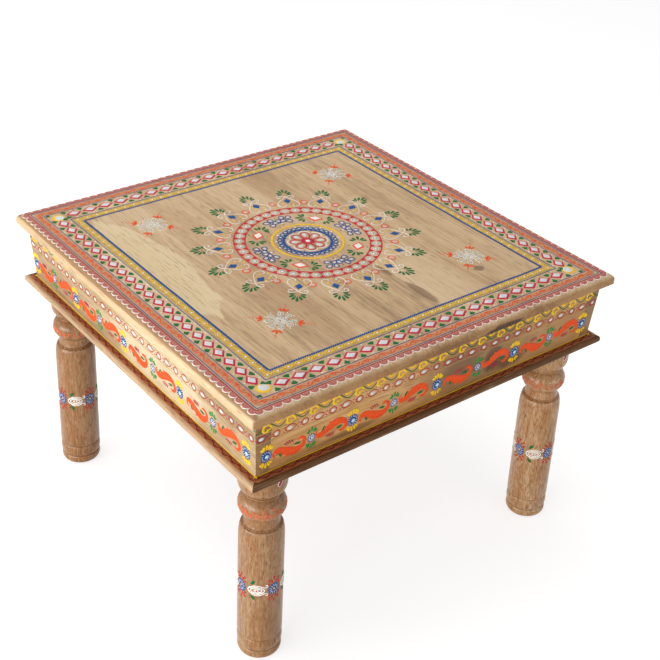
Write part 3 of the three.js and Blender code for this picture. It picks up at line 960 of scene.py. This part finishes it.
def border_lines(relief):
    """Ruled lines, a little uneven, and thin washes under the bands."""
    side = relief.side
    for half, paint, width in (
        (283.2, "slate", 1.5), (269.9, "slate", 1.4), (242.0, "slate", 1.5), (286.3, "maroon", 2.0)
    ):
        along = np.linspace(-half, half, 60)
        drift = 0.3 * np.sin(along / 31 + side) + 0.15 * np.sin(along / 11 + 2 * side)
        relief.stroke(paint, row(along, -half + drift), width)
    for half, paint, width in ((276.5, "tan", 10.8), (235.2, "ochre", 11.0), (288.6, "rose", 4.4)):
        relief.stroke(paint, row(np.linspace(-half, half, 80), -half), width, 0.1, 0.95)


def scallops(relief):
    """Rose shells with a maroon arc inside, edged by a thin white line."""
    number, reach = counts().scallops, 291.0
    at = row(2 * reach / number * (np.arange(number) + 0.5) - reach, -290.0)
    turn, scale = relief.jitter(0.05, number), relief.jitter(0.025, number, 1)
    relief.fill("rose", laid(arc(5.9, math.pi, math.tau, 11, 0.76), at, turn, scale), 0.2)
    outer = arc(4.3, math.pi * 0.88, math.pi * 2.12, 9, 0.75)
    relief.stroke("maroon", laid(outer, at + (0, 0.7), turn, scale), 1.3, 0.3)
    relief.stroke("maroon", laid(arc(1.5, math.pi * 0.7, math.tau, 7), at + (0.4, 0.8), turn, scale), 1.0, 0.3)
    relief.stroke("white", laid(arc(6.2, math.pi, math.tau, 13, 0.78), at, turn, scale), 0.75, 0.5)


def orange_vine(relief):
    """A wave with slanted leaves across each bend, and a heavier patch at each crest."""
    waves, reach, line = counts().vine_waves, 275.0, -276.4
    relief.stroke("coral", wave(reach, waves, 3.0, line, 14), 1.8, 0.4)
    bends = -reach + reach / waves * (np.arange(2 * waves) + 0.5)
    way = np.where(np.arange(2 * waves) % 2, -1.0, 1.0)
    lean = 0.72 + relief.jitter(0.1, 2 * waves)
    relief.fill("coral", laid(leaf(6.6, 2.3, 0.1, 10) - (3.3, 0), row(bends + 1.2, line - 1.1 * way), lean))
    patch = leaf(5.6, 2.9, -0.2, 10) - (2.8, 0)
    relief.fill("orange", laid(patch, row(bends[::2] - 0.6, -275.0), lean[::2] * 0.7), 0.46)
    relief.fill("orange", laid(ellipse(1.3, 1.0), row(bends[1::2] + 4.6, -278.6)))


def diamonds(relief):
    """Crimson diamonds filled with silver, leaves at their joints and dots beside them."""
    count, line = counts(), -256.2
    number, reach = ((count.diamonds_long, 242.0), (count.diamonds_short, 246.0))[relief.side % 2]
    pitch = 2 * reach / number
    at = row(pitch * (np.arange(number) + 0.5) - reach, line)
    at = at + relief.jitter(0.25, at.shape)
    tip, wide = pitch / 2 + 0.2, 8.9
    wobble = relief.jitter(0.03, number)
    outer = polygon((tip, 0), (0, wide), (-tip, 0), (0, -wide))
    relief.fill("crimson", laid(outer, at, wobble), 0.3, 0.93)
    spin = relief.side * math.pi / 2 + 0.6
    shift = 0.75 * np.array([math.sin(spin), math.cos(spin)])
    relief.fill("silver", laid(outer * 0.67, at + shift, wobble), 0.5, 0.9)
    joints = row(pitch * np.arange(number + 1) - reach, line)
    for way, apex, deep, broad in ((1, 3.0, 7.6, 5.5), (-1, 3.8, 8.2, 4.9)):
        near, far = deep * 0.75, broad * 0.4
        triangle = polygon((0, 0), (broad, near), (far, deep), (-far, deep), (-broad, near))
        wiggle = relief.jitter(0.12, len(joints))
        relief.fill("green", laid(triangle, joints + (0, way * apex), wiggle, 1.0, way), 0.4, 0.86)
        relief.fill("white", laid(ellipse(1.2, 1.1), at + (0, way * 10.9 + 0.6)), 0.5, 0.7)


def yellow_band(relief):
    """Dots in yellow rings with slanted leaves between them."""
    number, reach = counts().ochre_dots, 234.5
    pitch = 2 * reach / number
    at = row(pitch * np.arange(number) - reach, -reach)
    relief.stroke("yellow", laid(closed(ellipse(3.9, 3.3, 10)), at), 1.4, 0.4)
    relief.fill("white", laid(ellipse(1.7, 1.4), at), 0.5)
    for offset, lean, long in ((-1.7, 0.95, 6.4), (1.6, 0.8, 7.0)):
        blade = leaf(long, 1.7, 0.1) - (long / 2, 0)
        relief.fill("yellow", laid(blade, at + (pitch / 2 + offset, 0), lean + relief.jitter(0.12, number)))


def rope_line(relief):
    """A rope of slanted blue beads."""
    number, reach = counts().rope_beads, 227.9
    along = 2 * reach / number * (np.arange(number) + 0.5) - reach
    at = row(along, -reach + 0.2 * np.sin(along / 17))
    relief.fill("royal", laid(ellipse(2.7, 1.55), at, 0.95 + relief.jitter(0.12, number)), 0.5, 0.75)


def corner_disc(relief):
    """A yellow disc with a silver middle, and a leaf on its outer side."""
    disc = np.array([-254.0, -254.4])
    relief.fill("yellow", laid(ellipse(9.9, 9.7, 24), disc), 0.3, 0.92)
    relief.fill("silver", laid(ellipse(7.3, 7.1, 20), disc + (0.8, 0.9)), 0.5, 0.9)
    shape = polygon((0, -3), (4.4, 2.0), (0, 4.4), (-4.4, 2.0))
    relief.fill("green", laid(shape, disc + (-11.8, -10.0), 2.3), 0.4, 0.86)


class TABLE_OT_border(bpy.types.Operator):
    """Paints the bands round the edge of the top"""

    bl_idname = "table.border"
    bl_label = "Painted border of the top"

    def execute(self, context):
        relief = Relief(7)
        for side in range(4):
            relief.turn_to(side, on_top_side)
            for draw in (border_lines, scallops, orange_vine, diamonds, yellow_band, rope_line, corner_disc):
                draw(relief)
        relief.make("top_border")
        return {"FINISHED"}


# Mandala


def circle(radius):
    """x = r cos a, y = r sin a, about the mandala's middle."""
    return arc(radius, 0, math.tau, 96) + MANDALA_MIDDLE


def heart_flower(relief):
    """Eight red outlined petals with silver drops, a white dot and white lace, and a ring of blue loops."""
    petals = around(8, 3.2, math.tau / 16)
    relief.stroke("crimson", laid(closed(leaf(22, 12.5, 0.75, 20)), *petals), 1.8)
    relief.fill("silver", laid(leaf(11.0, 7.0, 0.6, 12) + (9.0, 0), *petals), 0.5)
    relief.fill("crimson", laid(leaf(6.0, 2.2) + (2.0, 0), *petals), 0.4)
    relief.stroke("white", laid(arc(9.2, -1.15, 1.15, 9) - (7.4, 0), *around(8, 27.0, math.tau / 16)), 1.6)
    relief.fill("white", laid(ellipse(3.6, 3.6, 14), MANDALA_MIDDLE), 0.6)
    relief.fill("royal", laid(ellipse(1.2, 1.2), *around(8, 31.0)))
    relief.stroke("royal", circle(33.6), 4.6, 0.3)
    loops = around(30, 39.2)
    relief.stroke("royal", laid(closed(ellipse(3.0, 3.5, 10)), *loops), 2.1)
    relief.fill("sky", laid(ellipse(1.3, 1.5), *loops), 0.25)
    relief.fill("white", laid(ellipse(1.1, 1.1), *around(15, 44.6, 0.1)), 0.5)


def rope_and_sprays(relief):
    """A yellow rope ring, four blue flower sprays, and four diamonds with green fans."""
    relief.stroke("ochre", circle(50.0), 4.4, 0.2)
    relief.stroke("yellow", circle(50.0), 2.6, 0.3)
    at, angle = around(80, 50.0)
    relief.fill("yellow", laid(ellipse(2.7, 1.6), at, angle + 0.9), 0.5)
    at, angle = around(4, 69.0)
    for dx, dy, turn, scale, flips in (
        (-1, 5.2, 1.1, 1.1, (1, -1)), (7.4, 8.8, 0.5, 1.1, (1, -1)), (-5.0, 12.8, 1.9, 1.15, (1, -1)),
        (4.4, 17.0, 1.2, 1.15, (1, -1)), (0.5, 0.0, 0.0, 1.15, (1,)),
    ):
        petal = laid(leaf(10.0, 7.0, 0.6, 12), (dx - 5 * math.cos(turn), dy - 5 * math.sin(turn)), turn, scale)[0]
        for flip in flips:
            relief.stroke("royal", laid(closed(petal), at, angle, 1.0, flip), 1.8)
            relief.fill("silver", laid(inner(petal, 0.52), at, angle, 1.0, flip), 0.35)
    relief.fill("white", laid(ellipse(1.5, 1.5) - (7, 0), at, angle), 0.5)
    relief.fill("royal", laid([ellipse(1.1, 1.1) - (11.0, 0), ellipse(1.0, 1.0) + (11.0, 0)], at, angle), 0.5)
    at, angle = around(4, 70.5, math.pi / 4)
    relief.fill("orange", laid(polygon((9.4, 0), (0, 13.2), (-9.4, 0), (0, -13.2)), at, angle), 0.3)
    relief.fill("white", laid(polygon((6.6, 0), (0, 9.6), (-6.6, 0), (0, -9.6)), at + 0.4, angle), 0.5)
    for out in (-12.8, 12.8):
        relief.fill("green", laid(ellipse(1.2, 1.2, 6) + (out, 0), at, angle))
    fan = [
        laid(leaf(long, 4.3), (1.5 - abs(lean), 2.6 * lean), lean)[0]
        for lean, long in ((-1.35, 9.5), (-0.7, 10.5), (0.0, 12.5), (0.7, 10.5), (1.35, 9.5))
    ]
    for way in (-1, 1):
        at, angle = around(4, 70.5, math.pi / 4 + way * 0.225)
        relief.fill("green", laid(fan, at, angle + way * math.pi / 2))


def crimson_ring(relief):
    """Two lines joined by teeth, with a bead in each gap."""
    number = counts().beads
    relief.stroke("crimson", circle(103.2), 2.3)
    relief.stroke("crimson", circle(87.4), 2.1)
    beads = around(number, 95.3)
    relief.fill("silver", laid(ellipse(4.4, 5.0, 12), *beads), 0.3, 0.9)
    relief.stroke("umber", laid(closed(ellipse(2.7, 3.1, 10)), *beads), 1.3, 0.45)
    relief.fill("white", laid(ellipse(1.3, 1.4), *beads), 0.5)
    tooth = polygon((5.6, 0), (-1, 4.4), (-1, -4.4))
    for radius, way in ((101.6, -1), (89.0, 1)):
        relief.fill("crimson", laid(way * tooth, *around(number, radius, math.pi / number)), 0.3)


def lyres(relief):
    """Two scrolls that rise from a curl, cross near the tip and curl out again, with a fan of leaves above."""
    number, radius = counts().lyres, 104.0
    _, angle = around(number, radius)
    # Near this direction the lyres stand a little further round
    shifted = math.radians(-127.7)
    angle = angle + 0.05 * np.maximum(0, np.cos(angle - shifted)) ** 2
    at = MANDALA_MIDDLE + radius * rays(angle)
    angle = angle + relief.jitter(0.02, number)
    scroll = smooth_path(
        [(9, 6.5), (7, 5), (4.5, 6.5), (4, 10.5), (7, 14.5), (12.5, 16), (19, 14), (26, 9), (32, 3.5), (36, -0.5),
         (39.5, -5), (40.5, -10), (37.5, -13), (33.5, -12), (33, -8.5), (35.5, -8)], 40
    )
    for flip in (1, -1):
        relief.stroke("white", laid(scroll, at, angle, 1.0, flip), 1.05, 0.45)
    relief.fill("royal", laid(polygon((31, 0), (23, 6.0), (15, 0), (23, -6.0)), at, angle), 0.45)
    dots = [ellipse(1.7, 1.7) + place for place in ((4.4, 0), (13.5, 7.5), (13.5, -7.5), (22.5, 8), (22.5, -8))]
    relief.fill("yellow", laid(dots, at, angle))
    tip = [
        laid(leaf(long, 4.0, 0.7), (out, aside), lean)[0]
        for lean, long, out, aside in (
            (-1.35, 8, 42.5, -3.2), (-0.85, 11, 44.5, -3.0), (-0.4, 13, 46.5, -1.8), (0, 15, 48, 0),
            (0.4, 13, 46.5, 1.8), (0.85, 11, 44.5, 3.0), (1.35, 8, 42.5, 3.2),
        )
    ]
    relief.fill("green", laid(tip, at, angle))
    rings = around(number, 121.5, math.pi / number)
    relief.stroke("orange", laid(closed(ellipse(5.6, 5.1, 14)), *rings), 1.7, 0.4)
    relief.fill("rose", laid(ellipse(3.8, 3.4, 12), *rings), 0.3)
    relief.stroke("white", laid(closed(ellipse(2.5, 2.3, 10)), *rings), 1.0, 0.45)
    relief.fill("white", laid(ellipse(0.9, 0.9), *rings), 0.5)


def rosettes(relief):
    """Silver lace petals, white dots, and orange sprigs towards the corners."""
    for place in np.array([[-153.0, 163.0], [165.0, 163.0], [-151.0, -144.0], [163.0, -150.0]]):
        for number, radius, long, wide, start in ((8, 9.4, 10.6, 7.8, 0.2), (8, 2.0, 7.4, 4.4, 0.6)):
            angle = around(number, radius, start)[1] + relief.jitter(0.08, number)
            at = place + radius * rays(angle)
            petal = leaf(long, wide, 0.5, 12)
            relief.stroke("white", laid(closed(petal), at, angle), 0.8, 0.5)
            relief.fill("pewter", laid(petal * 0.8 + (0.9, 0), at, angle), 0.3)
            relief.stroke("white", laid(np.array([(long * 0.2, 0), (long * 0.8, 0)]), at, angle), 0.9, 0.45)
        relief.fill("white", laid(ellipse(1.0, 1.0), around(12, 21.0, 0.0, place)[0]), 0.5)
        at, angle = around(4, 22.5, math.pi / 4, place)
        for lean in (-0.9, 0.0, 0.9):
            relief.fill("orange", laid(leaf(9.0, 4.0, 0.6, 10), at, angle + lean))
        for out, radius in ((34.5, 1.1), (39.0, 0.9), (43.0, 0.7)):
            at = around(4, out, math.pi / 4, place)[0]
            relief.fill("orange", laid(ellipse(radius, radius), at), 0.4)


class TABLE_OT_mandala(bpy.types.Operator):
    """Paints the mandala and the four rosettes of the top"""

    bl_idname = "table.mandala"
    bl_label = "Painted mandala and rosettes"

    def execute(self, context):
        relief = Relief(11)
        for draw in (heart_flower, rope_and_sprays, crimson_ring, lyres, rosettes):
            draw(relief)
        relief.make("top_mandala")
        return {"FINISHED"}


# Frame boards and base strips, one side at a time


def green_vine(relief):
    """Ruled lines, and a green wave with a bold yellow scroll at each crest and a smaller one at each trough.

    Near one end of the left board the vine rises, and its scrolls lose their leaves.
    """
    line, reach, lift_at = 62.6, 286, ((-240, -150), (0.0, 4.9 if relief.side == 3 else 0.0))
    along = np.linspace(-284.5, 284.5, 60)
    for up, paint, width in ((0.8, "yellow", 1.1), (44.1, "ochre", 1.0), (56.2, "ochre", 1.1)):
        relief.stroke(paint, row(along, up + 0.2 * np.sin(along / 41 + relief.side)), width)
    waves = counts().side_waves
    raised = np.interp(along, *lift_at)
    path = wave(reach, waves, 4.4, line, 14, -math.pi / 2)
    path[:, 1] += np.interp(path[:, 0], along, raised)
    relief.stroke("green", path, 1.5)
    pitch = 2 * reach / waves
    hook = smooth_path(
        [(2.8, -4.6), (-1.6, -5.2), (-4.4, -2.4), (-4.2, 1.8), (-0.8, 4.2), (3.4, 3.4), (6.4, 0.8), (8.4, -2.2)], 20
    )
    taper = 1.0 + 3.2 * np.sin(np.linspace(0.25, math.pi, 20)) ** 0.8
    for start, rise, scale, flip in ((0.5, -0.4, 1.0, 1.0), (0.0, 4.9, 0.8, -1.0)):
        places = -reach + pitch * (np.arange(waves)[start == 0 :] + start) - 2.0
        up = np.interp(places, along, raised)
        at, turn = row(places, line + rise + up), relief.jitter(0.12, len(places))
        relief.stroke("yellow", laid(hook, at, turn, scale, flip), taper * scale, 0.5)
        at, turn = at[up < 2], turn[up < 2]
        relief.fill("yellow", laid(leaf(5.2, 2.3, 0.3), at + (-0.6, -1.4 * flip), -0.5 * flip + turn), 0.45)
        relief.fill("yellow", laid(leaf(4.6, 1.9, 0.3), at + (2.4, -3.0 * flip), 0.25 * flip + turn))


def oval_band(relief):
    """Ovals, large and small in turn, with small petals between them."""
    number = counts().ovals
    pitch = 553.6 / (number - 1)
    at = row(pitch * np.arange(number) - 276.6, 50.1) + relief.jitter(0.3, (number, 2))
    drop = np.concatenate([arc(6.9, 0.75, math.tau - 0.75, 16, 0.61), [(9.2, 0.4)]])
    for places, shape in ((at[0::2] - (0.6, 0), drop), (at[1::2], ellipse(5.0, 4.2, 14))):
        relief.stroke("wine", laid(closed(shape), places), 1.5)
        relief.fill("silver", laid(inner(shape, 0.54), places), 0.45)
    gaps = at[:-1] + (pitch / 2 + 0.4, 0)
    for rise, lean in ((-2.6, -0.5), (2.6, 0.5)):
        relief.fill("wine", laid(leaf(3.0, 1.5, 0.3) - (1.5, 0), gaps + (0.0, rise), lean), 0.35)
        relief.fill("wine", laid(leaf(2.2, 1.1, 0.3) - (1.1, 0), gaps[::2] + (3.4, rise * 0.6), lean), 0.35)


def flowers(relief):
    """Blue flowers with yellow fans and smaller ones with green fans, spaced as listed."""
    yellow_at, green_at, _ = MAIN_BAND[relief.side % 2]
    places = row(yellow_at, FLOWER_HEIGHT)
    for place in places:
        spots, turn = around(14, 5.4, 0.0, place)
        relief.fill("royal", laid(leaf(4.4, 2.5, 0.2) - (1.5, 0), spots, turn), 0.45)
        gaps, turn = around(14, 5.2, 0.22, place)
        relief.fill("white", laid(leaf(2.4, 0.8, 0.2, 6) - (0.8, 0), gaps, turn), 0.55)
    relief.fill("royal", laid(ellipse(5.0, 4.8, 16), places), 0.45)
    relief.fill("sky", laid(ellipse(3.2, 2.9, 12), places + (0.6, -0.7)), 0.6)
    relief.fill("white", laid(ellipse(1.2, 1.0), places + (0.9, -1.0)), 0.7)
    for way, long, wide, foot in ((1, 8.6, 4.2, 7.6), (-1, 8.8, 3.4, 7.4)):
        for lean in (-0.95, -0.48, 0.0, 0.48, 0.95):
            base = places + (3.6 * math.sin(lean), way * (foot - 1.2 + 1.2 * math.cos(lean)))
            blade = leaf(long - 1.6 * abs(lean), wide, 0.9, 10)
            relief.fill("yellow", laid(blade, base, way * (math.pi / 2 - lean)), 0.45)
    places = row(green_at, FLOWER_HEIGHT)
    for place in places:
        relief.fill("slate", laid(leaf(3.4, 1.8, 0.2) - (1.4, 0), *around(12, 4.4, 0.0, place)), 0.45)
    relief.fill("silver", laid(ellipse(5.4, 5.4, 16), places), 0.2)
    relief.fill("slate", laid(ellipse(3.0, 3.0, 12), places), 0.4)
    relief.fill("white", laid(ellipse(1.6, 1.6, 10), places + (0.4, 0.0)), 0.55)
    for way in (-1, 1):
        for lean, long in ((-1.15, 5.8), (-0.6, 7.0), (0.0, 8.0), (0.6, 7.0), (1.15, 5.8)):
            base = places + (3.0 * math.sin(lean), way * (6.6 + 0.8 * math.cos(lean)))
            relief.fill("leaf_green", laid(leaf(long, 3.3, 0.5, 10), base, way * (math.pi / 2 - lean)))


def scrolls(relief):
    """Orange scrolls between the flowers, each turned over from the one before, with teeth, leaves and sprigs."""
    places = MAIN_BAND[relief.side % 2][2]
    at, flips = row(places, SCROLL_HEIGHT), np.where(np.arange(len(places)) % 2, -1.0, 1.0)
    body = smooth_path(
        [(-20.4, -7.2), (-23.0, -4.6), (-22.6, -0.4), (-18.6, 2.4), (-12.6, 1.2), (-6, -2.4), (1, -5.8), (8, -7.6),
         (15, -6.8), (20.4, -3.0), (22, 1.8), (19.6, 5.6), (14.8, 7.0), (11.4, 5.4)], 48
    )
    width = np.interp(
        np.linspace(0, 1, 48),
        (0, 0.08, 0.16, 0.3, 0.42, 0.52, 0.62, 0.74, 0.84, 0.92, 1),
        (1.2, 2.4, 4.2, 7.4, 11.2, 11.6, 8.6, 5.8, 4.6, 3.4, 1.2),
    )
    relief.stroke("orange", laid(body, at, 0.0, 1.0, flips), width, 0.4, 0.85)
    for paint, lift, skew, count, blades in (
        ("orange", 0.4, -0.3, 8, (
            (-13.5, 0.9, -2.2, 5.5, 4.2), (-7.5, -2.6, -2.1, 6.5, 4.2), (-1.0, -6.2, -2.0, 7.0, 4.2),
            (6.5, -8.2, -2.5, 6.0, 4.2), (-19.5, 1.4, -1.2, 4.5, 4.2),
        )),
        ("green", 0.5, 0.1, 10, ((-14.8, -2.4, -1.05, 7.6, 3.0), (6.4, 1.6, -0.14, 10.0, 3.4))),
        ("wine", COAT, 0.4, 8, (
            (5.6, 3.6, 2.15, 7.6, 1.9), (2.8, 3.6, 2.25, 8.4, 1.9), (0.0, 3.6, 2.35, 8.4, 1.9),
            (-2.8, 3.6, 2.5, 7.4, 1.9),
        )),
    ):
        for x, y, turn, long, wide in blades:
            blade = laid(leaf(long, wide, skew, count), (x, y), turn)[0]
            relief.fill(paint, laid(blade, at, 0.0, 1.0, flips), lift)


def strip_vine(relief):
    """A maroon vine with dots, on an orange-brown wash."""
    line, reach, waves = -4.9, 285, counts().strip_waves
    relief.stroke("rust", row(np.linspace(-284, 284, 60), line), 8.8, 0.1, 0.95)
    relief.stroke("maroon_dark", wave(reach, waves, 2.3, line, 10), 1.7, 0.4)
    bends = -reach + 2 * reach / waves * (np.arange(2 * waves) / 2 + 0.25)
    way = np.where(np.arange(2 * waves) % 2, 1.0, -1.0)
    relief.fill("maroon_dark", laid(ellipse(1.1, 0.9), row(bends, line - way * 0.9)), 0.4)


class TABLE_OT_side_paint(bpy.types.Operator):
    """Paints the frame boards and the upper faces of the base strips"""

    bl_idname = "table.side_paint"
    bl_label = "Painted frame boards"

    def execute(self, context):
        relief, strip = Relief(5), Relief()
        for side in range(4):
            relief.turn_to(side, on_apron)
            for draw in (green_vine, oval_band, flowers, scrolls):
                draw(relief)
            strip.turn_to(side, on_strip)
            strip_vine(strip)
        relief.make("frame")
        strip.make("strip")
        return {"FINISHED"}


# Legs


def leg_band(relief, start):
    """Four white eyes with curled tails, between four blue flowers with red fans."""
    at = row(start + LEG_GIRTH / 4 * np.arange(4), LEG_BAND_HEIGHT)
    eye = leaf(21.5, 9.6, -0.1, 20) - (11.2, 0)
    relief.stroke("white", laid(closed(eye), at), 1.6, 0.5)
    relief.stroke("white", laid(closed(eye) * (0.68, 0.60), at), 1.5, 0.5)
    relief.fill("white", laid(eye * (0.34, 0.30), at), 0.5)
    relief.fill("crimson", laid(ellipse(1.5, 1.1, 10), at), 0.65)
    tail = smooth_path(
        [(-9.8, 2.0), (-4.0, 6.2), (2.5, 6.8), (8.0, 5.2), (11.4, 4.0), (14.4, 5.0), (14.0, 7.4), (12.0, 7.0)], 22
    )
    for flip in (1, -1):
        relief.stroke("white", laid(tail, at, 0.0, 1.0, flip), 1.3, 0.45)
        relief.fill("green", laid(leaf(8.6, 4.2, 0.2, 10), at + (-8.2, flip * 7.6), flip * 0.75), 0.4)
    at = at + (LEG_GIRTH / 8, 0)
    for place in at:
        petals, turn = around(12, 1.5, 0.0, place)
        relief.fill("flower_blue", laid(leaf(7.2, 2.9, 0.7), petals, turn), 0.45)
        relief.fill("white", laid(leaf(4.4, 0.7, 0.3, 6), place + (petals - place) * 1.8, turn + 0.26), 0.6)
    relief.fill("white", laid(ellipse(0.9, 0.9), at), 0.7)
    for way in (-1, 1):
        for lean, out, long in (
            (-0.72, 8.8, 4.4), (-0.26, 9.0, 4.8), (0.26, 9.0, 4.8), (0.72, 8.8, 4.4),
            (-0.45, 13.0, 4.2), (0.0, 13.4, 5.0), (0.45, 13.0, 4.2),
        ):
            base = at + (out * math.sin(lean), way * (out * math.cos(lean) - 0.8))
            relief.fill("fan_red", laid(leaf(long, 3.3, 0.5), base, way * (math.pi / 2 - lean)), 0.45)


def garland(relief, number=250):
    """Many small orange strokes round the middle of the ball, in a band that rises and falls eight times."""
    along = relief.rng.uniform(0, LEG_GIRTH, number)
    up = 209.5 + 1.6 * np.cos(along / LEG_GIRTH * 16 * math.pi) + relief.jitter(2.6, number)
    lean, scale = relief.rng.uniform(0, math.tau, number), relief.rng.uniform(0.6, 1.3, number)
    relief.fill("garland", laid(leaf(3.8, 1.8, 0.2, 6), row(along, up), lean, scale), 0.3)


def bead_leaves(relief, start):
    """A dark red leaf with a pale edge, four times round the bead."""
    at = row(start + LEG_GIRTH / 4 * (np.arange(4) + 0.58), 250.0)
    blade = leaf(9.0, 5.2, 0.0, 14) - (4.5, 0)
    relief.fill("maroon", laid(blade, at, 0.9), 0.35)
    relief.stroke("silver", laid(closed(blade), at, 0.9), 0.8, 0.45)


class TABLE_OT_leg_paint(bpy.types.Operator):
    """Paints the bead, the ball and the middle band of each leg"""

    bl_idname = "table.leg_paint"
    bl_label = "Painted legs"

    def execute(self, context):
        axis = millimetres().leg_axis
        relief = Relief(3)
        for sign_x, sign_y in CORNERS.values():
            relief.place = on_leg((sign_x * axis, sign_y * axis))
            # The first eye's direction, in degrees round the leg
            start = LEG_GIRTH * (235 if sign_x < 0 < sign_y else 225) / 360
            leg_band(relief, start)
            garland(relief)
            bead_leaves(relief, start)
        relief.make("leg")
        return {"FINISHED"}


class TABLE_PT_panel(bpy.types.Panel):
    """Lists the steps that dress the table"""

    bl_idname = "TABLE_PT_panel"
    bl_label = "Low table"
    bl_space_type = "VIEW_3D"
    bl_region_type = "UI"
    bl_category = "Low table"

    def draw(self, context):
        for step in STEPS:
            self.layout.operator(step.bl_idname)
        for group in GROUPS:
            holder = getattr(context.scene, group)
            for key in type(holder).__annotations__:
                self.layout.prop(holder, key)


STEPS = (
    TABLE_OT_stage, TABLE_OT_top, TABLE_OT_frame, TABLE_OT_legs, TABLE_OT_inner,
    TABLE_OT_border, TABLE_OT_mandala, TABLE_OT_side_paint, TABLE_OT_leg_paint,
)
GROUPS = {"table_sizes": TableSizes, "table_colours": TableColours, "table_counts": MotifCounts}


def register():
    for made in (*GROUPS.values(), *STEPS, TABLE_PT_panel):
        bpy.utils.register_class(made)
    for name, group in GROUPS.items():
        setattr(bpy.types.Scene, name, PointerProperty(type=group))


def unregister():
    for name in GROUPS:
        delattr(bpy.types.Scene, name)
    for made in (TABLE_PT_panel, *reversed(STEPS), *GROUPS.values()):
        bpy.utils.unregister_class(made)


def main():
    register()
    for step in STEPS:
        family, action = step.bl_idname.split(".")
        getattr(getattr(bpy.ops, family), action)()
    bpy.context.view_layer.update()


if __name__ == "__main__":
    main()
